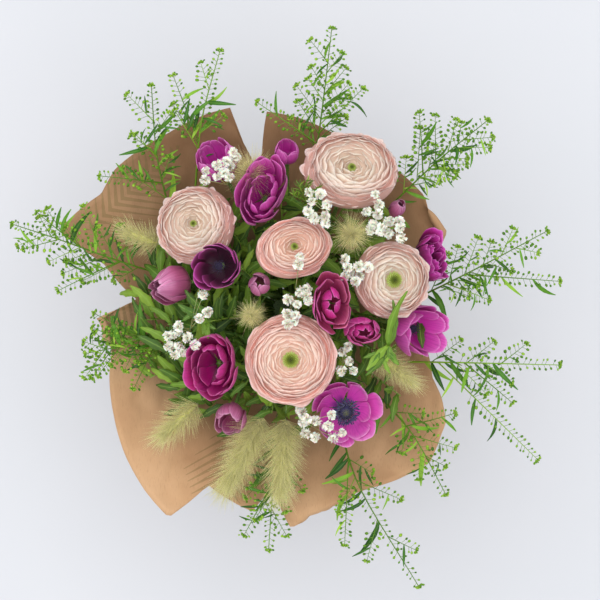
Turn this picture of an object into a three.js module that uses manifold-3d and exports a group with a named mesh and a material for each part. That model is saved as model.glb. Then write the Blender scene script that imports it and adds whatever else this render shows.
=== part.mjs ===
// Mixed flower bouquet, hand-tied and wrapped in kraft paper. Millimetres, +Z up.
// The bunch stands on its cut stem ends at z = 0; the plan is seen from above, with +Y away from the viewer.
import * as THREE from "three";
import { mergeVertices } from "three/addons/utils/BufferGeometryUtils.js";
import Module from "manifold-3d";

const wasm = await Module();
wasm.setup();
const { Manifold } = wasm;

// ---- Driving dimensions ----
const SEAT_GAP = 0.3; // clearance between neighbouring nodes
const PETAL_THICKNESS = 0.9;
const LEAF_THICKNESS = 0.9;
const PAPER_THICKNESS = 0.8;
const NECK_HEIGHT = 115; // height of the binding point above the table
const FOOT_RADIUS = 57; // circle of the outer cut stem ends
const STEM_RADIUS = 2.3;
const BUNDLE_RADIUS = 12.6; // stems packed together at the neck
const BINDING_RADIUS = 14.4; // centre line of the string round the stems
const NECK_PAPER_RADIUS = 17.7; // mean radius of the gathered paper
const TWINE_RADIUS = 1.5;

// ---- Colours ----
const BLUSH = 0xecc5b8;
const EYE_GREEN = 0x8b9a35;
const MAGENTA = 0xa81c80;
const PURPLE = 0x7c1a6e;
const DUSTY_MAUVE = 0x9c5670;
const DARK_CENTRE = 0x1c1733;
const WHITE = 0xf0eee2;
const LEAF_GREEN = 0x3f6f2c;
const SPRAY_GREEN = 0x5a9430;
const GRASS_GOLD = 0xa79f5c;
const STEM_GREEN = 0x5d7f3c;
const KRAFT = 0xb98d62;
const TWINE_COLOUR = 0xc2a878;

// ---- Seeded random numbers ----
let seed = 20241;
function random() {
  seed = (seed * 1664525 + 1013904223) % 4294967296;
  return seed / 4294967296;
}
function spread(amount) {
  return (random() * 2 - 1) * amount;
}

// ---- Closed solids ----
function welded(geometry) {
  geometry.deleteAttribute("uv");
  geometry.deleteAttribute("normal");
  return mergeVertices(geometry, 1e-4);
}

function solidFrom(geometry) {
  const closed = welded(geometry);
  return new Manifold(
    new wasm.Mesh({
      numProp: 3,
      vertProperties: Float32Array.from(closed.attributes.position.array),
      triVerts: Uint32Array.from(closed.index.array),
    }),
  );
}

// Moves every vertex of a geometry to where place(x, y, z) puts it.
function shaped(geometry, place) {
  const spots = geometry.attributes.position;
  for (let i = 0; i < spots.count; i += 1) {
    const to = place(spots.getX(i), spots.getY(i), spots.getZ(i));
    spots.setXYZ(i, to.x, to.y, to.z);
  }
  return geometry;
}

// A closed sheet: the open surface is offset to both sides and walled along its edges,
// so that both faces are split into the same triangles.
function sheet(surface, thickness) {
  const skin = welded(surface);
  skin.computeVertexNormals();
  const spots = skin.attributes.position;
  const normals = skin.attributes.normal;
  const count = spots.count;
  const points = [];
  for (const side of [0.5, -0.5]) {
    for (let i = 0; i < count; i += 1) {
      points.push(spots.getX(i) + normals.getX(i) * thickness * side);
      points.push(spots.getY(i) + normals.getY(i) * thickness * side);
      points.push(spots.getZ(i) + normals.getZ(i) * thickness * side);
    }
  }
  const top = Array.from(skin.index.array);
  const edges = new Set();
  const faces = [];
  for (let i = 0; i < top.length; i += 3) {
    const [a, b, c] = top.slice(i, i + 3);
    faces.push(a, b, c, c + count, b + count, a + count);
    edges.add(`${a},${b}`);
    edges.add(`${b},${c}`);
    edges.add(`${c},${a}`);
  }
  for (const edge of edges) {
    const [a, b] = edge.split(",").map(Number);
    if (!edges.has(`${b},${a}`)) {
      faces.push(b, a, a + count, b, a + count, b + count);
    }
  }
  const geometry = new THREE.BufferGeometry();
  geometry.setAttribute("position", new THREE.Float32BufferAttribute(points, 3));
  geometry.setIndex(faces);
  return geometry;
}

// A round rod along a curve, with its own radius at each end.
function rod(points, startRadius, endRadius, sides, parts) {
  const curve = new THREE.CatmullRomCurve3(points);
  const rings = [];
  let across = new THREE.Vector3(0.3, 0.9, 0.3);
  for (let i = 0; i <= parts; i += 1) {
    const along = curve.getTangent(i / parts);
    across = across.clone().addScaledVector(along, -across.dot(along)).normalize();
    const other = new THREE.Vector3().crossVectors(along, across);
    rings.push({ centre: curve.getPoint(i / parts), across, other });
  }
  const cylinder = new THREE.CylinderGeometry(1, 1, 1, sides, parts);
  return shaped(cylinder, (x, y, z) => {
    const radius = startRadius + (endRadius - startRadius) * (y + 0.5);
    const place = rings[Math.round((y + 0.5) * parts)];
    const spot = place.centre.clone().addScaledVector(place.across, x * radius);
    return spot.addScaledVector(place.other, -z * radius);
  });
}

// The straight runs of a rod, so that what grows on it starts on its centre line.
function centreLine(points, parts) {
  const curve = new THREE.CatmullRomCurve3(points);
  const line = new THREE.CurvePath();
  for (let i = 0; i < parts; i += 1) {
    line.add(new THREE.LineCurve3(curve.getPoint(i / parts), curve.getPoint((i + 1) / parts)));
  }
  return line;
}

// Turns local +Z to a direction, then moves the origin to a point.
function posed(geometry, at, direction) {
  const turn = new THREE.Quaternion().setFromUnitVectors(new THREE.Vector3(0, 0, 1), direction);
  const matrix = new THREE.Matrix4().compose(at, turn, new THREE.Vector3(1, 1, 1));
  return geometry.applyMatrix4(matrix);
}

// The direction that leans by tilt degrees from upright toward a bearing in plan (degrees from +X).
function leaning(tilt, bearing) {
  const lean = THREE.MathUtils.degToRad(tilt);
  const turn = THREE.MathUtils.degToRad(bearing);
  return new THREE.Vector3(
    Math.sin(lean) * Math.cos(turn),
    Math.sin(lean) * Math.sin(turn),
    Math.cos(lean),
  );
}

function point(values) {
  return new THREE.Vector3(...values);
}

// ---- Keeping the nodes clear of one another ----
const placed = [];

function isClear(solid, owner, gap = SEAT_GAP) {
  const box = solid.boundingBox();
  for (const other of placed) {
    if (other.owner === owner) {
      continue;
    }
    const apart = [0, 1, 2].some(
      (k) => box.min[k] > other.box.max[k] + gap || box.max[k] < other.box.min[k] - gap,
    );
    if (!apart && solid.minGap(other.solid, gap) < gap) {
      return false;
    }
  }
  return true;
}

function keep(owner, solid) {
  placed.push({ owner, solid, box: solid.boundingBox() });
}

// Keeps the first of the candidate geometries that is clear of the other nodes and gives its number.
const skipped = {};
function keepFirstClear(owner, candidates) {
  for (const [number, candidate] of candidates.entries()) {
    const solid = solidFrom(candidate());
    if (isClear(solid, owner)) {
      keep(owner, solid);
      return number;
    }
  }
  skipped[owner] = (skipped[owner] ?? 0) + 1;
  return -1;
}

// ---- Blooms ----
// A bloom is one turned body. Each ring of petals is a thin wall that rises to its rim and falls
// back inside; it steps in and out round the axis where one petal laps the next, and its rim is
// notched between petals. A row gives its spot as parts of the bloom's radius and height, its
// petal count, how many columns its petals are shifted, and how far it steps and notches.
function turnedPetals(bloom, columns, rows, closing) {
  const profile = [new THREE.Vector2(0, 0)];
  for (const row of rows) {
    profile.push(new THREE.Vector2(row.spot[0] * bloom.radius, row.spot[1] * bloom.height));
  }
  profile.push(new THREE.Vector2(0, rows.at(-1).spot[1] * bloom.height));
  const [wide, deep] = bloom.stretch ?? [1, 1];
  const tall = rows.map(() => Array.from({ length: columns }, () => spread(1)));
  const lathe = new THREE.LatheGeometry(profile, columns);
  const spots = lathe.attributes.position;
  for (let i = 0; i < spots.count; i += 1) {
    const column = Math.floor(i / profile.length) % columns;
    const rowNumber = (i % profile.length) - 1;
    const row = rows[rowNumber];
    let grow = 1;
    let lift = 0;
    if (row) {
      const petalColumns = columns / row.petals;
      const across = (((column + row.shift) % petalColumns) / (petalColumns - 1)) * 2 - 1;
      const petal = Math.floor(((column + row.shift) % columns) / petalColumns);
      const whim = tall[Math.min(rowNumber, 1)][petal];
      const ruffle = (bloom.ruffle ?? 0) * Math.sin(column * 2.4 + row.spot[0] * 9);
      grow = 1 + row.step * across + row.notch * (whim * 0.35 + ruffle) - closing * row.spot[1];
      lift = ((0.3 - across * across) * row.notch + whim * row.notch * 0.35) * bloom.height;
    }
    spots.setXYZ(
      i,
      spots.getX(i) * grow * wide,
      -spots.getZ(i) * grow * deep,
      spots.getY(i) + lift,
    );
  }
  return lathe.rotateZ(THREE.MathUtils.degToRad(bloom.roll ?? 0));
}

// Stands a bloom on its base and lets it close a little where it would cross another node.
function placeBloom(name, bloom, columns, rows) {
  const direction = leaning(bloom.tilt, bloom.bearing);
  const base = point(bloom.at).addScaledVector(direction, -bloom.height * 0.5);
  const closings = [0, 0.08, 0.16, 0.25, 0.35].map(
    (closing) => () => posed(turnedPetals(bloom, columns, rows, closing), base, direction),
  );
  keepFirstClear(name, closings);
  return { base, direction };
}

const RANUNCULUS_COLUMNS = 15;
const RANUNCULUS_RINGS = [
  { petals: 5, shift: 0, outer: [[0.72, 0.1], [0.98, 0.36]], tip: [1.0, 0.62], floor: [0.8, 0.34] },
  { petals: 5, shift: 1, outer: [[0.84, 0.5]], tip: [0.87, 0.84], floor: [0.66, 0.62] },
  { petals: 5, shift: 2, outer: [], tip: [0.7, 0.97], floor: [0.53, 0.82] },
  { petals: 3, shift: 3, outer: [], tip: [0.5, 1.0], floor: [0.34, 0.84] },
];

function addRanunculus(name, bloom) {
  const wall = (PETAL_THICKNESS * 1.3) / bloom.radius;
  const rows = [{ spot: [0.3, 0.02], petals: 5, shift: 0, step: 0, notch: 0 }];
  for (const { petals, shift, outer, tip, floor } of RANUNCULUS_RINGS) {
    for (const spot of outer) {
      rows.push({ spot, petals, shift, step: 0.03, notch: 0.03 });
    }
    rows.push({ spot: tip, petals, shift, step: 0.05, notch: 0.07 });
    rows.push({ spot: [tip[0] - wall, tip[1]], petals, shift, step: 0.05, notch: 0.07 });
    rows.push({ spot: floor, petals, shift, step: 0.03, notch: 0 });
  }
  const hole = (bloom.eye + 0.7) / bloom.radius;
  rows.push({ spot: [Math.max(hole + 0.03, 0.2), 0.95], petals: 3, shift: 2, step: 0.04, notch: 0.02 });
  rows.push({ spot: [hole, 0.76], petals: 3, shift: 2, step: 0, notch: 0 });
  const seat = placeBloom(name, bloom, RANUNCULUS_COLUMNS, rows);
  const lift = bloom.height * 0.76 + bloom.eye * 0.5 + SEAT_GAP;
  const eyeCentre = seat.base.clone().addScaledVector(seat.direction, lift);
  const eye = new THREE.SphereGeometry(bloom.eye, 7, 4);
  eye.rotateX(Math.PI / 2);
  eye.scale(1, 1, 0.5);
  keep(`${name}_eye`, solidFrom(posed(eye, eyeCentre, seat.direction)));
  finish(`${name}_eye`, EYE_GREEN, 0.7);
  return seat;
}

// The side profiles of anemone petals, from wide open to shut: middle, shoulder and rim.
const ANEMONE_FORMS = {
  open: [[0.6, 0.14], [0.9, 0.5], [1.02, 0.96]],
  cup: [[0.66, 0.16], [0.88, 0.55], [0.94, 0.96]],
  half: [[0.64, 0.18], [0.84, 0.58], [0.68, 0.96]],
  shut: [[0.62, 0.22], [0.72, 0.62], [0.32, 0.96]],
};

function addAnemone(name, bloom) {
  const petals = bloom.petals;
  const wall = PETAL_THICKNESS / bloom.radius;
  const rows = [{ spot: [0.16, 0.01], petals, shift: 0, step: 0, notch: 0 }];
  const rings = bloom.inner ? [[bloom.form, 1], [bloom.inner, 0.68]] : [[bloom.form, 1]];
  for (const [form, size] of rings) {
    const shift = size === 1 ? 0 : 1;
    const [middle, shoulder, rim] = ANEMONE_FORMS[form].map(([r, h]) => [r * size, h]);
    if (size === 1) {
      rows.push({ spot: middle, petals, shift, step: 0.04, notch: 0.02 });
    }
    rows.push({ spot: shoulder, petals, shift, step: 0.09, notch: 0.06 });
    rows.push({ spot: rim, petals, shift, step: 0.09, notch: 0.24 });
    rows.push({ spot: [rim[0] - wall * 1.2, rim[1]], petals, shift, step: 0.09, notch: 0.24 });
    rows.push({ spot: [shoulder[0] - wall * 1.5, shoulder[1]], petals, shift, step: 0.09, notch: 0.06 });
    rows.push({ spot: [middle[0] * 0.72, 0.24], petals, shift, step: 0, notch: 0 });
  }
  const seat = placeBloom(name, bloom, petals * (bloom.radius > 20 ? 3 : 2), rows);
  if (bloom.centre) {
    const lift = bloom.height * 0.24 + bloom.centre * 0.7 + SEAT_GAP;
    const spot = seat.base.clone().addScaledVector(seat.direction, lift);
    addDarkCentre(`${name}_centre`, spot, seat.direction, bloom.centre);
  }
  return seat;
}

// A button set round with stamens.
function addDarkCentre(name, centre, direction, radius) {
  const button = new THREE.SphereGeometry(radius * 0.7, 7, 4);
  button.rotateX(Math.PI / 2);
  keep(name, solidFrom(posed(button, centre, direction)));
  const stamens = radius > 8 ? 14 : 0;
  for (let i = 0; i < stamens; i += 1) {
    const out = leaning(62 + spread(10), (i / stamens) * 360);
    const needle = new THREE.ConeGeometry(0.8, radius * 1.1, 3, 1);
    needle.rotateX(Math.PI / 2);
    needle.translate(0, 0, radius * 0.55);
    posed(needle, new THREE.Vector3(), out.clone());
    keep(name, solidFrom(posed(needle, centre, direction)));
  }
  finish(name, DARK_CENTRE, 0.8);
}

// ---- Turning the kept parts of a node into its mesh ----
const bouquet = new THREE.Group();
bouquet.name = "mixed_flower_bouquet";

// The largest connected piece: loose crumbs and sealed pockets are left out.
function largestBody(solid) {
  let largest = solid;
  let most = -1;
  for (const piece of solid.decompose()) {
    if (piece.volume() > most) {
      most = piece.volume();
      largest = piece;
    }
  }
  return largest;
}

function finish(name, colour, roughness, cutAway) {
  const own = placed.filter((item) => item.owner === name);
  const joined = Manifold.union(own.map((item) => item.solid));
  const body = largestBody(cutAway ? joined.subtract(cutAway) : joined);
  const made = body.getMesh();
  const geometry = new THREE.BufferGeometry();
  const points = [];
  for (let i = 0; i < made.numVert; i += 1) {
    points.push(...made.vertProperties.slice(i * made.numProp, i * made.numProp + 3));
  }
  geometry.setAttribute("position", new THREE.Float32BufferAttribute(points, 3));
  geometry.setIndex(Array.from(made.triVerts));
  geometry.computeVertexNormals();
  const material = new THREE.MeshStandardMaterial({
    color: colour,
    roughness,
    flatShading: true,
  });
  const mesh = new THREE.Mesh(geometry, material);
  mesh.name = name;
  bouquet.add(mesh);
}

// ---- Layout: ranunculus ----
const RANUNCULUS = {
  ranunculus_left: { at: [-67, 62, 288], tilt: 17, bearing: 145, radius: 32, height: 31, eye: 2.6 },
  ranunculus_top: {
    at: [49, 103, 283], tilt: 20, bearing: 70, radius: 35, height: 32, eye: 3.2,
    stretch: [1.1, 0.92],
  },
  ranunculus_middle: {
    at: [6, 44, 318], tilt: 12, bearing: 60, radius: 27.5, height: 30, eye: 2.8,
    stretch: [1.1, 0.86], roll: 15,
  },
  ranunculus_right: { at: [79, 21, 296], tilt: 14, bearing: 0, radius: 31, height: 31, eye: 6 },
  ranunculus_front: { at: [4, -38, 308], tilt: 3, bearing: 270, radius: 36.5, height: 34, eye: 6 },
};

// ---- Layout: anemones ----
const ANEMONES = {
  anemone_open: {
    at: [45, -78, 282], tilt: 12, bearing: 300, radius: 26.5, height: 22, petals: 7,
    form: "open", inner: "open", centre: 10, colour: MAGENTA,
  },
  anemone_double: {
    at: [-17, 86, 297], tilt: 8, bearing: 120, radius: 24, height: 40, petals: 6,
    form: "cup", inner: "half", stretch: [0.86, 1.28], roll: -24, ruffle: 0.3, colour: MAGENTA,
  },
  anemone_cup_left: {
    at: [-50, 31, 322], tilt: 10, bearing: 200, radius: 20.5, height: 32, petals: 6,
    form: "cup", centre: 5, colour: MAGENTA,
  },
  anemone_cup_front: {
    at: [-54, -43, 296], tilt: 12, bearing: 200, radius: 23, height: 38, petals: 6,
    form: "cup", inner: "half", stretch: [0.95, 1.35], ruffle: 0.3, colour: MAGENTA,
  },
  anemone_cup_right: {
    at: [101, -17, 266], tilt: 40, bearing: 345, radius: 23, height: 36, petals: 6,
    form: "cup", centre: 5, colour: PURPLE,
  },
  anemone_far_left: {
    at: [-88, 17, 280], tilt: 58, bearing: 190, radius: 21.5, height: 37, petals: 6,
    form: "shut", colour: DUSTY_MAUVE,
  },
  anemone_far_top: {
    at: [-52, 112, 264], tilt: 42, bearing: 118, radius: 20, height: 32, petals: 6,
    form: "half", colour: MAGENTA,
  },
  anemone_folded: {
    at: [34, 4, 328], tilt: 6, bearing: 20, radius: 20, height: 34, petals: 5,
    form: "cup", inner: "shut", stretch: [0.82, 1.25], ruffle: 0.7, colour: MAGENTA,
  },
  anemone_small_folded: {
    at: [58, -17, 306], tilt: 10, bearing: 300, radius: 16, height: 28, petals: 5,
    form: "half", inner: "shut", stretch: [1.15, 0.85], ruffle: 0.5, colour: MAGENTA,
  },
  anemone_ruffled: {
    at: [110, 38, 262], tilt: 48, bearing: 25, radius: 16, height: 26, petals: 6,
    form: "cup", stretch: [0.8, 1.4], ruffle: 0.8, colour: PURPLE,
  },
  anemone_bud: {
    at: [-19, 18, 316], tilt: 10, bearing: 90, radius: 12, height: 28, petals: 5,
    form: "shut", colour: DUSTY_MAUVE,
  },
  anemone_behind_grass: {
    at: [-42, -84, 266], tilt: 35, bearing: 250, radius: 15.5, height: 26, petals: 5,
    form: "half", colour: DUSTY_MAUVE,
  },
  anemone_dusty: {
    at: [85, 76, 274], tilt: 30, bearing: 50, radius: 9, height: 22, petals: 4,
    form: "shut", colour: DUSTY_MAUVE,
  },
  anemone_top_small: {
    at: [1, 119, 262], tilt: 32, bearing: 90, radius: 12, height: 22, petals: 5,
    form: "half", colour: MAGENTA,
  },
};

// ---- Layout: wrapper rim in plan, anticlockwise from the right; four flaps with slits between ----
const WRAPPER_RIM = [
  [105, 6], [116, 34], [127, 60], [120, 70], [109, 85], [86, 107], [56, 126], [34, 137], [11, 147],
  [-15, 152], [-19, 117], [-24, 111], [-34, 130], [-41, 155], [-60, 150], [-90, 135], [-131, 107],
  [-142, 88], [-174, 60], [-141, 34], [-116, 6], [-148, -8], [-136, -39], [-137, -54], [-133, -84],
  [-124, -114], [-109, -140], [-90, -161], [-60, -137], [-26, -157], [-15, -144], [-8, -146],
  [4, -170], [35, -153], [64, -140], [103, -125], [112, -119], [120, -99], [124, -89], [121, -70],
  [114, -54], [109, -28],
];
const WRAPPER_WIDEST_STEP = 16; // degrees between two columns of the sheet
const SKIRT_HEIGHT = 68; // lower edge of the paper above the table
const SKIRT_RADIUS = 42;

// The height of the flaring paper at a distance from the axis.
function paperHeight(radius) {
  return 127 + 148 * (1 - Math.exp(-(radius - 24) / 95));
}

// Bearing and reach of every column of the sheet, with extra columns in the wide steps.
function wrapperColumns() {
  const corners = WRAPPER_RIM.map(([x, y]) => ({
    bearing: (Math.atan2(y, x) + Math.PI * 2) % (Math.PI * 2),
    reach: Math.hypot(x, y),
  }));
  const columns = [];
  corners.sort((a, b) => a.bearing - b.bearing);
  corners.forEach((corner, i) => {
    const next = corners[(i + 1) % corners.length];
    const step = (next.bearing - corner.bearing + Math.PI * 2) % (Math.PI * 2);
    const extra = Math.ceil(THREE.MathUtils.radToDeg(step) / WRAPPER_WIDEST_STEP);
    for (let k = 0; k < extra; k += 1) {
      columns.push({
        bearing: corner.bearing + (step * k) / extra,
        reach: corner.reach + ((next.reach - corner.reach) * k) / extra,
      });
    }
  });
  return columns;
}

function addWrapper() {
  const columns = wrapperColumns();
  const lower = [
    { radius: SKIRT_RADIUS, height: SKIRT_HEIGHT, pleat: 3 },
    { radius: NECK_PAPER_RADIUS, height: NECK_HEIGHT, pleat: 1 },
    { radius: 24, height: 127, pleat: 1.6 },
  ];
  const shares = [0.3, 0.65, 1];
  const bands = lower.length + shares.length - 1;
  const tube = new THREE.CylinderGeometry(1, 1, 1, columns.length, bands, true);
  const spots = tube.attributes.position;
  const perRow = columns.length + 1;
  for (let i = 0; i < spots.count; i += 1) {
    const number = i % perRow;
    const column = columns[number % columns.length];
    const row = bands - Math.floor(i / perRow);
    const fold = number % 2 ? 1 : -1;
    let radius;
    let height;
    if (row < lower.length) {
      radius = lower[row].radius + lower[row].pleat * fold;
      height = lower[row].height;
    } else {
      radius = 24 + (column.reach - 24) * shares[row - lower.length];
      const wave = 4 * Math.sin(column.bearing * 3 + 0.6) * (radius / 150) ** 2;
      height = paperHeight(radius) + wave + fold * 2.4 * Math.exp(-(radius - 24) / 30);
    }
    spots.setXYZ(i, Math.cos(column.bearing) * radius, Math.sin(column.bearing) * radius, height);
  }
  keep("wrapper_paper", solidFrom(sheet(tube, PAPER_THICKNESS)));
  finish("wrapper_paper", KRAFT, 0.9);
}

// A ring of string; tall is how many turns high it is.
function ring(radius, thickness, tall, sides, parts) {
  const torus = new THREE.TorusGeometry(radius, thickness, sides, parts);
  torus.scale(1, 1, tall);
  return torus.translate(0, 0, NECK_HEIGHT);
}

// String round the stems inside the paper, and two turns of twine with a knot outside it.
function addTies() {
  keep("stem_binding", solidFrom(ring(BINDING_RADIUS, 1.2, 2, 4, 14)));
  finish("stem_binding", TWINE_COLOUR, 0.9);
  const radius = NECK_PAPER_RADIUS + 1.6 + PAPER_THICKNESS + TWINE_RADIUS + SEAT_GAP;
  keep("neck_twine", solidFrom(ring(radius, TWINE_RADIUS, 1.9, 4, 16)));
  const front = new THREE.Vector3(0, -radius - TWINE_RADIUS * 0.6, NECK_HEIGHT);
  const knot = new THREE.OctahedronGeometry(TWINE_RADIUS * 2.4);
  keep("neck_twine", solidFrom(knot.translate(...front.toArray())));
  for (const side of [-1, 1]) {
    const end = [
      front,
      front.clone().add(new THREE.Vector3(side * 7, -7, -9)),
      front.clone().add(new THREE.Vector3(side * 12, -10, -24)),
    ];
    keep("neck_twine", solidFrom(rod(end, 1.2, 1, 3, 2)));
  }
  finish("neck_twine", TWINE_COLOUR, 0.9);
}

// ---- Layout: sprays; a path from the spray's foot to its tip, and twigs that leave the path ----
const SPRAYS = {
  spray_left: {
    path: [[-94, 25, 224], [-131, 37, 262], [-169, 51, 285], [-205, 63, 300]],
    twigs: [[0.3, [-173, 13, 274]], [0.55, [-187, 72, 296]]],
  },
  spray_left_low: {
    path: [[-90, -16, 222], [-122, -28, 252], [-153, -35, 268]],
    twigs: [[0.3, [-146, -4, 270]], [0.1, [-116, -62, 264]]],
  },
  spray_far_left: {
    path: [[-88, 68, 236], [-98, 115, 266], [-101, 168, 292]],
    twigs: [[0.3, [-141, 100, 280]], [0.5, [-113, 131, 292]]],
  },
  spray_top_left: {
    path: [[-70, 92, 238], [-64, 142, 270], [-49, 194, 296]],
    twigs: [[0.35, [-85, 176, 286]], [0.3, [-84, 150, 282]]],
  },
  spray_top: {
    path: [[22, 110, 236], [28, 152, 264], [35, 211, 292]],
    twigs: [[0.3, [59, 166, 290]], [0.2, [-22, 157, 266]]],
  },
  spray_top_right: {
    path: [[80, 78, 236], [116, 112, 268], [152, 141, 302]],
    twigs: [[0.35, [101, 148, 286]], [0.45, [128, 98, 282]]],
  },
  spray_right: {
    path: [[99, 6, 222], [142, 28, 262], [197, 58, 298]],
    twigs: [[0.45, [207, 20, 292]], [0.3, [155, 6, 272]]],
  },
  spray_right_low: {
    path: [[95, -42, 228], [142, -42, 264], [207, -43, 290]],
    twigs: [[0.25, [191, -115, 284]], [0.45, [172, -72, 282]]],
  },
  spray_front_right: {
    path: [[72, -68, 222], [98, -98, 252], [122, -142, 272]],
    twigs: [[0.4, [129, -80, 274]]],
  },
  spray_front: {
    path: [[42, -94, 230], [58, -140, 262], [101, -211, 282]],
    twigs: [[0.25, [45, -181, 268]]],
  },
  spray_front_left: {
    path: [[-8, -96, 222], [-10, -138, 250], [-13, -185, 264]],
    twigs: [[0.45, [-32, -174, 262]]],
  },
};

// ---- Layout: grass heads; the foot and the tip of the head and how far the bristles reach ----
const GRASS_HEADS = {
  grass_top: { foot: [-26, 100, 262], tip: [-26, 103, 290], reach: 16, bristles: 12 },
  grass_middle_right: { foot: [49, 57, 292], tip: [50, 54, 320], reach: 17, bristles: 14 },
  grass_middle_left: { foot: [-26, -6, 294], tip: [-25, -5, 320], reach: 13, bristles: 12 },
  grass_plume_left: { foot: [-16, -80, 262], tip: [-46, -138, 266], reach: 21, bristles: 17 },
  grass_plume_right: { foot: [0, -82, 264], tip: [-4, -142, 268], reach: 21, bristles: 17 },
  grass_front_left: { foot: [-66, -72, 256], tip: [-94, -98, 266], reach: 14, bristles: 12 },
  grass_right: { foot: [68, -34, 262], tip: [96, -56, 268], reach: 14, bristles: 12 },
  grass_far_left: { foot: [-96, 48, 256], tip: [-122, 58, 266], reach: 13, bristles: 10 },
};

// ---- Layout: gypsophila; a hub between the blooms and the florets round it ----
const GYPSOPHILA = {
  gypsophila_top_left: {
    hub: [-44, 93, 284],
    florets: [[-51, 107, 300], [-44, 110, 302], [-46, 101, 302], [-60, 96, 297], [-37, 113, 296]],
  },
  gypsophila_top: {
    hub: [31, 71, 302],
    florets: [[31, 76, 333], [17, 71, 339], [26, 84, 330], [22, 66, 340]],
  },
  gypsophila_right: {
    hub: [74, 62, 294],
    florets: [[70, 77, 310], [69, 70, 314], [77, 64, 318], [85, 64, 314], [65, 62, 318],
      [71, 57, 320], [86, 52, 322]],
  },
  gypsophila_middle: {
    hub: [7, 8, 306],
    florets: [[11, 12, 330], [2, 6, 328], [2, -4, 332], [2, -12, 334], [16, 14, 330], [10, 32, 345]],
  },
  gypsophila_left: {
    hub: [-72, -16, 286],
    florets: [[-80, -14, 302], [-88, -21, 298], [-73, -22, 304], [-87, -29, 297], [-77, -33, 300],
      [-61, 10, 312], [-58, -3, 312]],
  },
  gypsophila_front: {
    hub: [14, -86, 284],
    florets: [[11, -76, 304], [13, -85, 304], [23, -84, 310], [32, -88, 310], [15, -94, 302]],
  },
  gypsophila_middle_right: {
    hub: [45, 31, 298],
    florets: [[48, 27, 318], [55, 31, 326], [52, 20, 328], [44, 36, 322]],
  },
};

// ---- Layout: cut leaves; where the lobes meet and where each lobe ends ----
const CUT_LEAVES = {
  leaf_right: {
    hub: [77, -28, 306],
    lobes: [[73, 10, 332], [91, 0, 324], [58, -44, 314], [79, -44, 306], [67, -54, 304]],
    width: 8,
  },
  leaf_left: {
    hub: [-62, -6, 296],
    lobes: [[-66, 10, 302], [-56, -22, 304], [-82, -2, 300], [-76, 14, 296]],
    width: 8,
  },
  leaf_needled: {
    hub: [16, 80, 298],
    lobes: [[10, 92, 316], [16, 95, 318], [24, 90, 318], [6, 84, 316], [26, 80, 314]],
    width: 2,
  },
};

// ---- Stems: thick ones spiral from their cut ends through the neck, thin ones branch off them ----
const FOOT_STEMS = 19;
const FOOT_STEM_PARTS = 3; // straight runs in each
const HUB_RADIUS = 2; // where a branching stalk or a cut leaf begins

function stemTargets() {
  const targets = [...seats.values()].map(({ base, direction }) => ({ base, direction, radius: 2 }));
  for (const { foot, tip } of Object.values(GRASS_HEADS)) {
    const base = point(foot);
    targets.push({ base, direction: point(tip).sub(base).normalize(), radius: 1.2 });
  }
  for (const { path } of Object.values(SPRAYS)) {
    const base = point(path[0]);
    targets.push({ base, direction: point(path[1]).sub(base).normalize(), radius: 1.3 });
  }
  for (const { hub } of [...Object.values(GYPSOPHILA), ...Object.values(CUT_LEAVES)]) {
    const base = point(hub).add(new THREE.Vector3(0, 0, -HUB_RADIUS));
    targets.push({ base, direction: new THREE.Vector3(0, 0, 1), radius: 1 });
  }
  return targets;
}

// The places where a thin stem can leave a thick one, the handiest first: below its end and near it.
function forkPlaces(end, lines) {
  const places = [];
  for (const line of lines) {
    for (const share of [0.5, 0.56, 0.62, 0.68, 0.74, 0.8]) {
      const spot = line.getPointAt(share);
      const rise = end.z - spot.z;
      const run = Math.hypot(end.x - spot.x, end.y - spot.y);
      if (rise > 22 && spot.z > NECK_HEIGHT + 16) {
        places.push({ spot, cost: run * 1.6 + rise });
      }
    }
  }
  places.sort((a, b) => a.cost - b.cost);
  return places.slice(0, 10).map((place) => place.spot);
}

function addStems() {
  const bundle = new THREE.CylinderGeometry(BUNDLE_RADIUS, BUNDLE_RADIUS, 40, 9);
  bundle.rotateX(Math.PI / 2);
  bundle.translate(0, 0, NECK_HEIGHT);
  keep("stems", solidFrom(bundle));
  const targets = stemTargets();
  const main = targets.slice(0, FOOT_STEMS);
  main.sort((a, b) => Math.atan2(a.base.y, a.base.x) - Math.atan2(b.base.y, b.base.x));
  const lines = [];
  main.forEach((target, i) => {
    const outer = i % 2 === 0;
    const bearing = THREE.MathUtils.radToDeg(Math.atan2(target.base.y, target.base.x));
    const foot = leaning(90, (i / FOOT_STEMS) * 360 + 20);
    foot.multiplyScalar(outer ? FOOT_RADIUS : FOOT_RADIUS * 0.62);
    const end = target.base.clone().addScaledVector(target.direction, -SEAT_GAP * 1.4);
    const candidates = [];
    for (const lead of [26, 16, 34, 10, 46]) {
      for (const side of [-60, -90, -30, 0, 30]) {
        const waist = leaning(90, bearing + side).multiplyScalar(outer ? 9 : 5);
        waist.z = NECK_HEIGHT;
        const points = [waist, end.clone().addScaledVector(target.direction, -lead), end];
        candidates.push([foot.clone().setZ(-6), ...points]);
      }
    }
    const rods = candidates.map(
      (points) => () => rod(points, STEM_RADIUS, target.radius, 4, FOOT_STEM_PARTS),
    );
    const chosen = keepFirstClear("stems", rods);
    if (chosen !== -1) {
      lines.push(centreLine(candidates[chosen], FOOT_STEM_PARTS));
    }
  });
  for (const target of targets.slice(FOOT_STEMS)) {
    const end = target.base.clone().addScaledVector(target.direction, -SEAT_GAP * 1.4);
    const candidates = [];
    for (const spot of forkPlaces(end, lines)) {
      for (const lead of [14, 6, 24]) {
        const points = [spot, end.clone().addScaledVector(target.direction, -lead), end];
        candidates.push(() => rod(points, target.radius, target.radius * 0.8, 3, 2));
      }
    }
    keepFirstClear("stems", candidates);
  }
  const below = new THREE.BoxGeometry(300, 300, 40).translate(0, 0, -20);
  finish("stems", STEM_GREEN, 0.7, solidFrom(below));
}

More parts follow.
